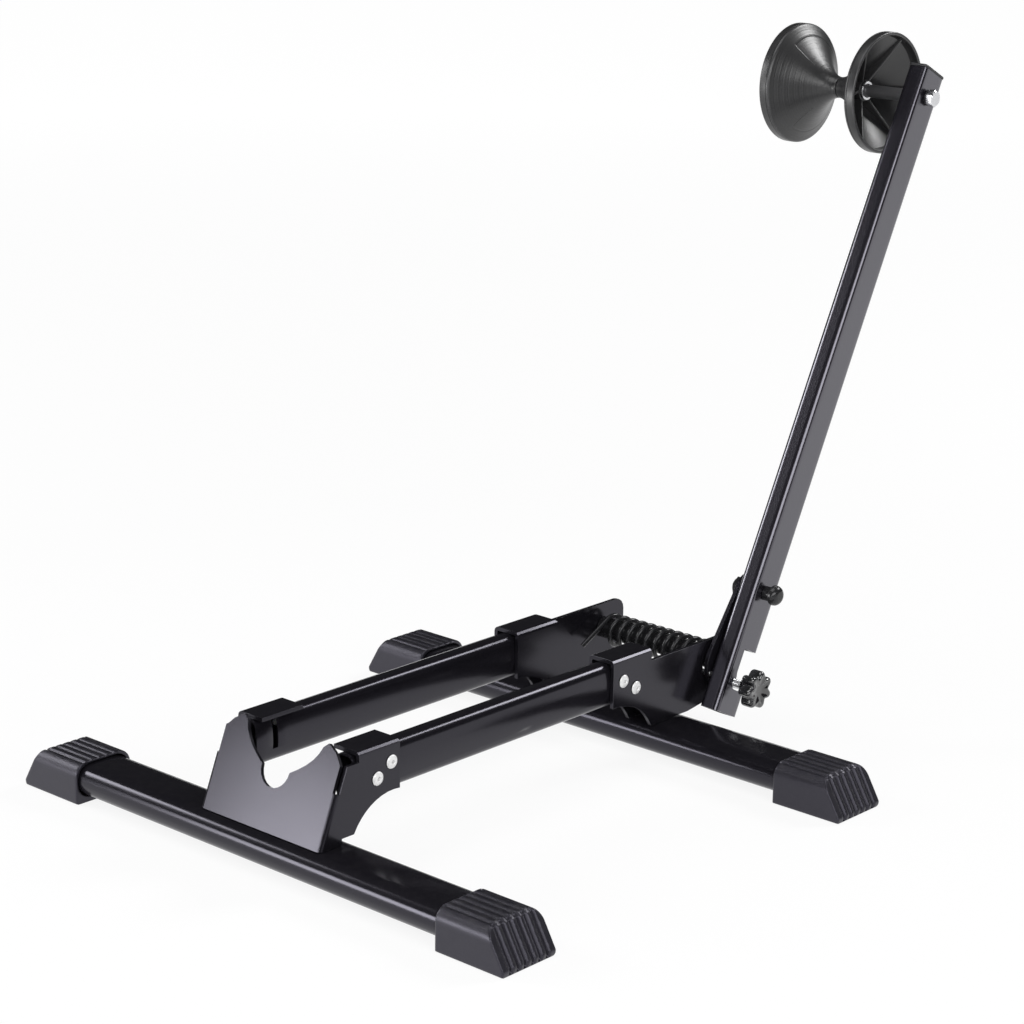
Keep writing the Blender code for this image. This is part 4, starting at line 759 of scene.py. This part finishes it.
def springRoute():
    sizes = springSizes
    angle, reach = sizes["leftAngle"], sizes["leftLeg"]
    tangent = Vector((0.0, math.sin(angle), -math.cos(angle)))
    corner = aroundAxle(sizes["left"], angle, sizes["radius"]) - tangent * reach
    hook = corner - Vector((sizes["bend"], 0.0, 0.0))
    leave = corner + tangent * sizes["bend"]
    points = [Vector((-stand["plateOuter"], corner.y, corner.z)),
              Vector((-(stand["plateInner"] - sizes["wire"]), corner.y, corner.z))]
    for step in range(11):
        points.append(bend(hook, corner, leave, step / 10))
    touch = math.acos((sizes["radius"] + sizes["wire"] + sizes["gap"] + sizes["pinRadius"])
                      / sizes["pinOrbit"])
    right = sizes["pinAngle"] + touch
    fall = (angle - right) % (2 * math.pi) + 2 * math.pi * sizes["turns"]
    steps = round(fall / (2 * math.pi) * sizes["perTurn"])
    for step in range(steps + 1):
        share = step / steps
        points.append(aroundAxle(sizes["left"] + (sizes["right"] - sizes["left"]) * share,
                                 angle - fall * share, sizes["radius"]))
    contact = sizes["pinOrbit"] * math.sin(touch)
    away = Vector((0.0, math.sin(right), -math.cos(right)))
    for step in range(1, 5):
        points.append(points[-1] + away * (contact + sizes["overrun"]) / 4)
    return points


springData = wireMesh("torsionWire", springRoute(), springSizes["wire"], springSizes["sides"])
spring = addPiece("torsion_spring", springData, None, "blackSteel", 60.0, False)
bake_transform(spring)
softened("spring_sleeve", "base", "blackSteel", 0.0003)
print("torsion spring wound")

boltPieces = {
    "pivot_axle": ("lever", "zinc", 0.0005), "pivot_washer_left": ("lever", "zinc", 0.0003),
    "pivot_washer_right": ("lever", "zinc", 0.0003), "pivot_nut": ("lever", "zinc", 0.0004),
    "stop_pin": ("lever", "zinc", 0.0004), "fold_washer": ("lever", "blackSteel", 0.0003),
    "fold_nut": ("lever", "blackSteel", 0.0004), "roller_nut": ("arm", "zinc", 0.0004),
    "roller_washer_left": ("arm", "zinc", 0.0003),
    "roller_washer_right": ("arm", "zinc", 0.0003), "head_washer": ("arm", "blackSteel", 0.0003),
    "roller_sleeve": ("arm", "sleeve", 0.0003), "roller_bolt": ("arm", "zinc", 0.0004),
    "fold_bolt": ("lever", "blackSteel", 0.0004), "tube_plug": ("arm", "plug", 0.0004),
}
for node, look in boltPieces.items():
    softened(node, *look)
print("bolts, washers and nuts made")

knobSizes = {
    "radius": 0.0125, "lobes": 7, "lobeDepth": 0.0032, "thickness": 0.0100, "inner": 0.0794,
    "neckRadius": 0.0065, "neckLength": 0.0030, "neckEdge": 0.0003, "neckFoot": 0.0004,
    "edge": 0.0024, "bore": 0.0031, "buried": 0.0073, "perLobe": 28, "dish": 0.0016,
    "rounding": 6, "dishSteps": 8,
}
screwSizes = {"radius": 0.0030, "pitch": 0.0010, "thread": 0.00045, "start": 0.0510,
              "buried": 0.0070, "point": 0.0006, "pointLength": 0.0012, "sides": 32,
              "perPitch": 10}


def makeKnob():
    sizes = knobSizes
    count = sizes["lobes"] * sizes["perLobe"]
    inner, edge, widest = sizes["inner"], sizes["edge"], sizes["radius"]
    outer, neck = inner + sizes["thickness"], inner - sizes["neckLength"]
    centre = alongArm(0.0, 0.0, stand["knobUp"])
    bm, layer = startMesh()
    rings = []

    # each ring's last value lightens it: painted edge highlight, partly wear
    def ring(x, reach, share=0.0, sheenAndWear=0.0):
        row = []
        for index in range(count):
            angle = 2 * math.pi * index / count
            dip = ((1 - math.cos(sizes["lobes"] * angle)) / 2) ** 1.15
            radius = reach - sizes["lobeDepth"] * dip * share
            vert = bm.verts.new(centre + armTurn @ aboutX(x, radius, angle))
            vert[layer] = sheenAndWear
            row.append(vert)
        rings.append(row)

    ring(inner + sizes["buried"], sizes["bore"])
    ring(neck, sizes["bore"])
    ring(neck, sizes["neckRadius"] - sizes["neckEdge"])
    ring(neck + sizes["neckEdge"], sizes["neckRadius"])
    ring(inner - sizes["neckFoot"], sizes["neckRadius"])
    ring(inner, sizes["neckRadius"] + sizes["neckFoot"])
    ring(inner, widest - edge, 1.0)
    steps = sizes["rounding"]
    for step in range(1, steps + 1):
        turn = math.pi / 2 * step / steps
        ring(inner + edge * (1 - math.cos(turn)), widest - edge * (1 - math.sin(turn)), 1.0, 1.0)
    for step in range(steps + 1):
        turn = math.pi / 2 * step / steps
        ring(outer - edge * (1 - math.sin(turn)), widest - edge * (1 - math.cos(turn)), 1.0,
             1.0 if 1 < step < steps else 0.0)
    for step in range(1, sizes["dishSteps"] + 1):
        share = step / sizes["dishSteps"]
        reach = (widest - edge) * (1 - share) + 0.0001
        dish = sizes["dish"] * held(share * 1.6 - 0.12) ** 0.8
        ring(outer - dish, reach, max(0.0, 1 - share * 1.5))
    bridgeRows(bm, rings)
    addPiece("star_knob", closeMesh("starKnob", bm), "knob", "knob", 50.0, False)


def makeScrew():
    # rolled thread: the radius follows a helix
    sizes = screwSizes
    start, end = sizes["start"], knobSizes["inner"] + sizes["buried"]
    centre = alongArm(0.0, 0.0, stand["knobUp"])
    rows = round((end - start) / sizes["pitch"] * sizes["perPitch"])
    verts = []
    for row in range(rows + 1):
        x = start + (end - start) * row / rows
        fade = min(1.0, (x - start) / sizes["pointLength"])
        for step in range(sizes["sides"]):
            turn = step / sizes["sides"]
            phase = (x / sizes["pitch"] - turn) % 1.0
            crest = abs(2 * phase - 1)
            radius = sizes["radius"] - sizes["thread"] * held(1.25 - 1.5 * crest)
            radius -= sizes["point"] * (1 - fade)
            verts.append(centre + armTurn @ aboutX(x, radius, 2 * math.pi * turn))
    data = tubeMesh("knobThread", verts, sizes["sides"])
    addPiece("knob_screw", data, "knob", "zinc", 80.0, False)


makeKnob()
makeScrew()
print("knob and screw made")

rollerSizes = {
    "radius": 0.0400, "length": 0.0385, "rim": 0.0072, "neck": 0.0070, "flare": 1.75,
    "crowding": 0.85, "wall": 0.0022, "hub": 0.0072, "hubEnd": 0.0200, "ribs": 6,
    "rib": 0.0018, "ribInset": 0.0040, "ribEdge": 0.0005, "ribSteps": 14, "bore": 0.0043,
    "boreEdge": 0.0003, "gap": 0.0003, "steps": 26, "sides": 144, "rimEdge": 0.0009,
    "rimGroove": 0.0004, "grooveBack": 0.0017, "ripple": 0.00006, "rippleSteps": 84,
    "seamDepth": 0.00030, "seamWidth": math.radians(0.7), "seamRing": 0.84, "seamStart": 0.45,
    "seams": (math.radians(121.25), math.radians(238.75)),
}
# rows across a rib: share of its thickness, share of its edge sunk in, painted edge highlight
# with wear
ribRows = ((-0.5, 1.0, 0.0), (-0.42, 0.3, 1.0), (-0.25, 0.0, 0.4),
           (0.25, 0.0, 0.4), (0.42, 0.3, 1.0), (0.5, 1.0, 0.0))


def trumpet(share, depth=0.0):
    sizes = rollerSizes
    length = sizes["length"] - sizes["rim"] - sizes["gap"]
    climb = (sizes["radius"] - sizes["neck"]) * sizes["flare"] * share ** (sizes["flare"] - 1)
    slope = Vector((length, climb)).normalized()
    spot = Vector((sizes["gap"] + length * share, sizes["neck"]
                   + (sizes["radius"] - sizes["neck"]) * share ** sizes["flare"]))
    return spot + Vector((slope.y, -slope.x)) * depth


def crowded(count):
    # shares that lie closer together near the neck
    return [(step / count) ** rollerSizes["crowding"] for step in range(count + 1)]


def rollerShell(side, centre):
    sizes = rollerSizes
    count, wide = sizes["rippleSteps"], sizes["radius"]
    face = []
    for step, share in enumerate(crowded(count)):
        wave = math.sin(step * 1.9) + 0.6 * math.sin(step * 0.83 + 1.0)
        face.append(trumpet(share, sizes["ripple"] * (1.0 + 0.5 * wave)
                            if 2 < step < count - 3 else 0.0))
    inside = [trumpet(share, sizes["wall"]) for share in reversed(crowded(sizes["steps"]))]
    inside = [spot for spot in inside if sizes["hub"] + sizes["wall"] < spot.y
              < wide - sizes["wall"]]
    edge, hub, hubEnd = sizes["rimEdge"], sizes["hub"], sizes["hubEnd"]
    bore, boreEdge, start = sizes["bore"], sizes["boreEdge"], face[0].x
    # each point's third value lightens the edge: painted edge highlight, partly wear
    profile = [(start, bore + boreEdge, 0.0), (start, face[0].y - 0.0004, 0.5)]
    profile += [(spot.x, spot.y, 0.0) for spot in face[1:-2]]
    # the trumpet meets the rim band in a soft crest with a fine parting groove
    crest, rimStart = face[-3], face[-1].x
    corner, end = Vector((rimStart + 0.0002, wide)), Vector((rimStart + 0.0011, wide))
    for step in range(7):
        spot = bend(crest, corner, end, step / 6)
        profile.append((spot.x, spot.y, 1.0 if 2 <= step <= 4 else 0.0))
    groove = rimStart + sizes["grooveBack"]
    profile += [(groove - 0.0002, wide, 0.0), (groove, wide - sizes["rimGroove"], 0.0),
                (groove + 0.0002, wide, 0.0)]
    for step in range(6):
        turn = math.pi / 2 * step / 5
        profile.append((sizes["length"] - edge * (1 - math.sin(turn)),
                        wide - edge * (1 - math.cos(turn)), 1.0 if 1 <= step <= 4 else 0.0))
    rim = wide - sizes["wall"]
    for step in range(5):
        turn = math.pi / 2 * step / 4
        profile.append((sizes["length"] - edge * (1 - math.cos(turn)),
                        rim + edge * (1 - math.sin(turn)), 1.0 if 1 <= step <= 3 else 0.0))
    rimInner = trumpet(1.0, sizes["wall"]).x
    profile += [(rimInner + 0.0012, rim, 0.0), (rimInner + 0.0003, rim - 0.0003, 0.0)]
    profile += [(spot.x, spot.y, 0.0) for spot in inside]
    floor = inside[-1].x
    profile += [(floor, hub + 0.0010, 0.0), (floor + 0.0003, hub + 0.0003, 0.0),
                (floor + 0.0010, hub, 0.0), (hubEnd - 0.0005, hub, 0.0),
                (hubEnd - 0.00015, hub - 0.00015, 1.0), (hubEnd, hub - 0.0005, 0.0),
                (hubEnd, bore + boreEdge, 0.0), (hubEnd - boreEdge, bore, 0.0),
                (start + boreEdge, bore, 0.0)]
    mirrored = [(side * x, radius) for x, radius, sheenAndWear in profile]
    first, last = sizes["seams"]
    seamFoot, ring = round(count * sizes["seamStart"]), round(count * sizes["seamRing"])

    def seamMark(place, angle):
        # two mould seams run up the cone and an arc joins them near the rim
        onSeam = min(abs(angle - first), abs(angle - last)) < sizes["seamWidth"] * 0.5
        onArc = place == ring and not first < angle < last
        return sizes["seamDepth"] if onArc or (seamFoot < place < ring and onSeam) else 0.0

    extra = [seam + sizes["seamWidth"] * share for seam in sizes["seams"]
             for share in (-1, 0, 1)]
    return latheMesh("rollerShell", mirrored, sizes["sides"], centre,
                     [sheenAndWear for x, radius, sheenAndWear in profile], extra=extra, mark=seamMark), floor


def rollerRib(side, centre, angle, floor):
    # a web from hub to wall with its free edge rounded over
    sizes = rollerSizes
    middle = sizes["wall"] / 2
    hub = (sizes["hub"] + sizes["bore"]) / 2
    wall = [trumpet(share, middle) for share in crowded(sizes["ribSteps"])]
    wall = [spot for spot in wall if spot.x > floor and spot.y > hub]
    tip = Vector((sizes["length"] - sizes["ribInset"], sizes["radius"] - middle))
    root = Vector((sizes["hubEnd"] - sizes["gap"], hub))
    outline = [Vector((floor - middle, hub))] + wall + [tip]
    outline += [tip.lerp(root, share / 5) for share in range(1, 6)]
    free = len(outline) - 6
    radial = Vector((0.0, math.cos(angle), math.sin(angle)))
    across = Vector((0.0, -math.sin(angle), math.cos(angle)))
    slope = (root - tip).normalized()
    inward = Vector((-slope.y, slope.x))
    if inward.x > 0:
        inward = -inward
    bm, layer = startMesh()
    rows = []
    for offset, sink, sheenAndWear in ribRows:
        row = []
        for index, spot in enumerate(outline):
            moved = spot + inward * (sizes["ribEdge"] * sink) if index >= free else spot
            place = Vector((side * moved.x, 0.0, 0.0)) + radial * moved.y
            place += across * sizes["rib"] * offset
            vert = bm.verts.new(centre + place)
            vert[layer] = sheenAndWear if index >= free else 0.0
            row.append(vert)
        rows.append(row)
    bridgeRows(bm, rows)
    return closeMesh("rollerRib", bm)


def makeRoller(node, side):
    centre = alongArm(0.0, 0.0, stand["rollerUp"])
    shell, floor = rollerShell(side, centre)
    bm = bmesh.new()
    bm.from_mesh(shell)
    for index in range(rollerSizes["ribs"]):
        angle = 2 * math.pi * index / rollerSizes["ribs"]
        bm.from_mesh(rollerRib(side, centre, angle, floor))
    addPiece(node, closeMesh(node, bm), node, "roller", 35.0, False)


for label, side in handed.items():
    makeRoller(f"roller_{label}", side)
print("rollers made")

studio = {
    "floorSize": 60.0, "floorColor": (0.8, 0.8, 0.8), "shadowShare": 0.12,
    "glowNear": 0.6, "glowFar": 3.0, "glowMost": 0.985, "worldColor": (0.03, 0.03, 0.032),
}


def makeFloor():
    # pale floor: glows for the camera, keeps the shadow, lights the stand as a plain floor
    bm = bmesh.new()
    bmesh.ops.create_grid(bm, x_segments=8, y_segments=8, size=studio["floorSize"] / 2)
    data = closeMesh("studioFloor", bm, False)
    floor = placeObject("studioFloor", data)
    made = bpy.data.materials.new("paleFloor")
    made.use_nodes = True
    tree = made.node_tree
    tree.nodes.clear()
    out = addNode(tree, 'ShaderNodeOutputMaterial', (900, 0))
    seen = addNode(tree, 'ShaderNodeLightPath', (-300, 300))
    cameraOrGlossy = addMath(tree, 'MAXIMUM', seen.outputs['Is Camera Ray'],
                             seen.outputs['Is Glossy Ray'], (0, 300))
    shown = addMath(tree, 'MAXIMUM', cameraOrGlossy, seen.outputs['Is Transmission Ray'],
                    (200, 300))
    share = studio["shadowShare"]
    plain = addNode(tree, 'ShaderNodeBsdfDiffuse', (200, -200))
    feed(tree, plain.inputs['Color'], studio["floorColor"])
    shaded = addNode(tree, 'ShaderNodeBsdfDiffuse', (0, 100))
    feed(tree, shaded.inputs['Color'], (share, share, share))
    glow = addNode(tree, 'ShaderNodeEmission', (0, -50))
    feed(tree, glow.inputs['Color'], (1.0, 1.0, 1.0))
    place = addNode(tree, 'ShaderNodeTexCoord', (-900, -100))
    length = addNode(tree, 'ShaderNodeVectorMath', (-700, -100), operation='LENGTH')
    paler = addRange(tree, length.outputs['Value'], studio["glowNear"], studio["glowFar"],
                     1.0 - share, studio["glowMost"], (-300, -100))
    both = addNode(tree, 'ShaderNodeAddShader', (250, 50))
    pick = addNode(tree, 'ShaderNodeMixShader', (600, 0))
    for start, end in ((place.outputs['Object'], length.inputs[0]),
                       (paler, glow.inputs['Strength']), (shaded.outputs[0], both.inputs[0]),
                       (glow.outputs[0], both.inputs[1]), (shown, pick.inputs[0]),
                       (plain.outputs[0], pick.inputs[1]), (both.outputs[0], pick.inputs[2]),
                       (pick.outputs[0], out.inputs['Surface'])):
        tree.links.new(start, end)
    data.materials.append(made)


makeFloor()

# each panel: around from straight ahead (left is negative), height angle, size and glow
panels = {
    "topSoftbox": {"around": -20.0, "up": 80.0, "far": 2.0, "size": (1.3, 1.3), "glow": 2.6},
    "leftFrontPanel": {"around": -27.0, "up": 4.0, "far": 2.0, "size": (1.0, 0.46), "glow": 10.5},
    "leftTallPanel": {"around": -60.0, "up": 24.0, "far": 2.2, "size": (0.45, 1.0), "glow": 10.0},
    "rightPanel": {"around": 58.0, "up": 28.0, "far": 2.2, "size": (2.3, 0.8), "glow": 4.5},
    "nearPanel": {"around": 20.0, "up": 14.0, "far": 2.2, "size": (0.4, 0.5), "glow": 8.0},
    "rearPanel": {"around": 160.0, "up": 38.0, "far": 2.2, "size": (0.7, 0.7), "glow": 13.0},
}
aimPoint = Vector((0.0, -0.05, 0.08))
for name, look in panels.items():
    around, up = math.radians(look["around"]), math.radians(look["up"])
    spot = aimPoint + look["far"] * Vector((math.sin(around) * math.cos(up),
                                            -math.cos(around) * math.cos(up), math.sin(up)))
    lamp = bpy.data.lights.new(name, 'AREA')
    lamp.shape = 'RECTANGLE'
    lamp.size, lamp.size_y = look["size"]
    lamp.energy = look["glow"] * math.pi * look["size"][0] * look["size"][1]
    panel = placeObject(name, lamp)
    panel.location = spot
    panel.rotation_euler = (aimPoint - spot).to_track_quat('-Z', 'Y').to_euler()

world = bpy.data.worlds.new("studioWorld")
bpy.context.scene.world = world
world.use_nodes = True
background = world.node_tree.nodes['Background']
feed(world.node_tree, background.inputs['Color'], studio["worldColor"])
background.inputs['Strength'].default_value = 1.0

view = {"at": (1.10530, -1.29257, 0.63961), "around": 42.1129, "down": 15.8904,
        "roll": 0.8371, "lens": 98.62}
lensData = bpy.data.cameras.new("photoCamera")
lensData.sensor_width = 36.0
lensData.lens = view["lens"]
lensData.clip_end = 200.0
camera = placeObject("photoCamera", lensData)
camera.matrix_world = (Matrix.Translation(view["at"])
                       @ Matrix.Rotation(math.radians(view["around"]), 4, 'Z')
                       @ Matrix.Rotation(math.radians(90 - view["down"]), 4, 'X')
                       @ Matrix.Rotation(math.radians(view["roll"]), 4, 'Z'))
bpy.context.scene.camera = camera
bpy.context.scene.view_settings.view_transform = 'Standard'
print("floor, light and camera set")

bpy.context.view_layer.update()
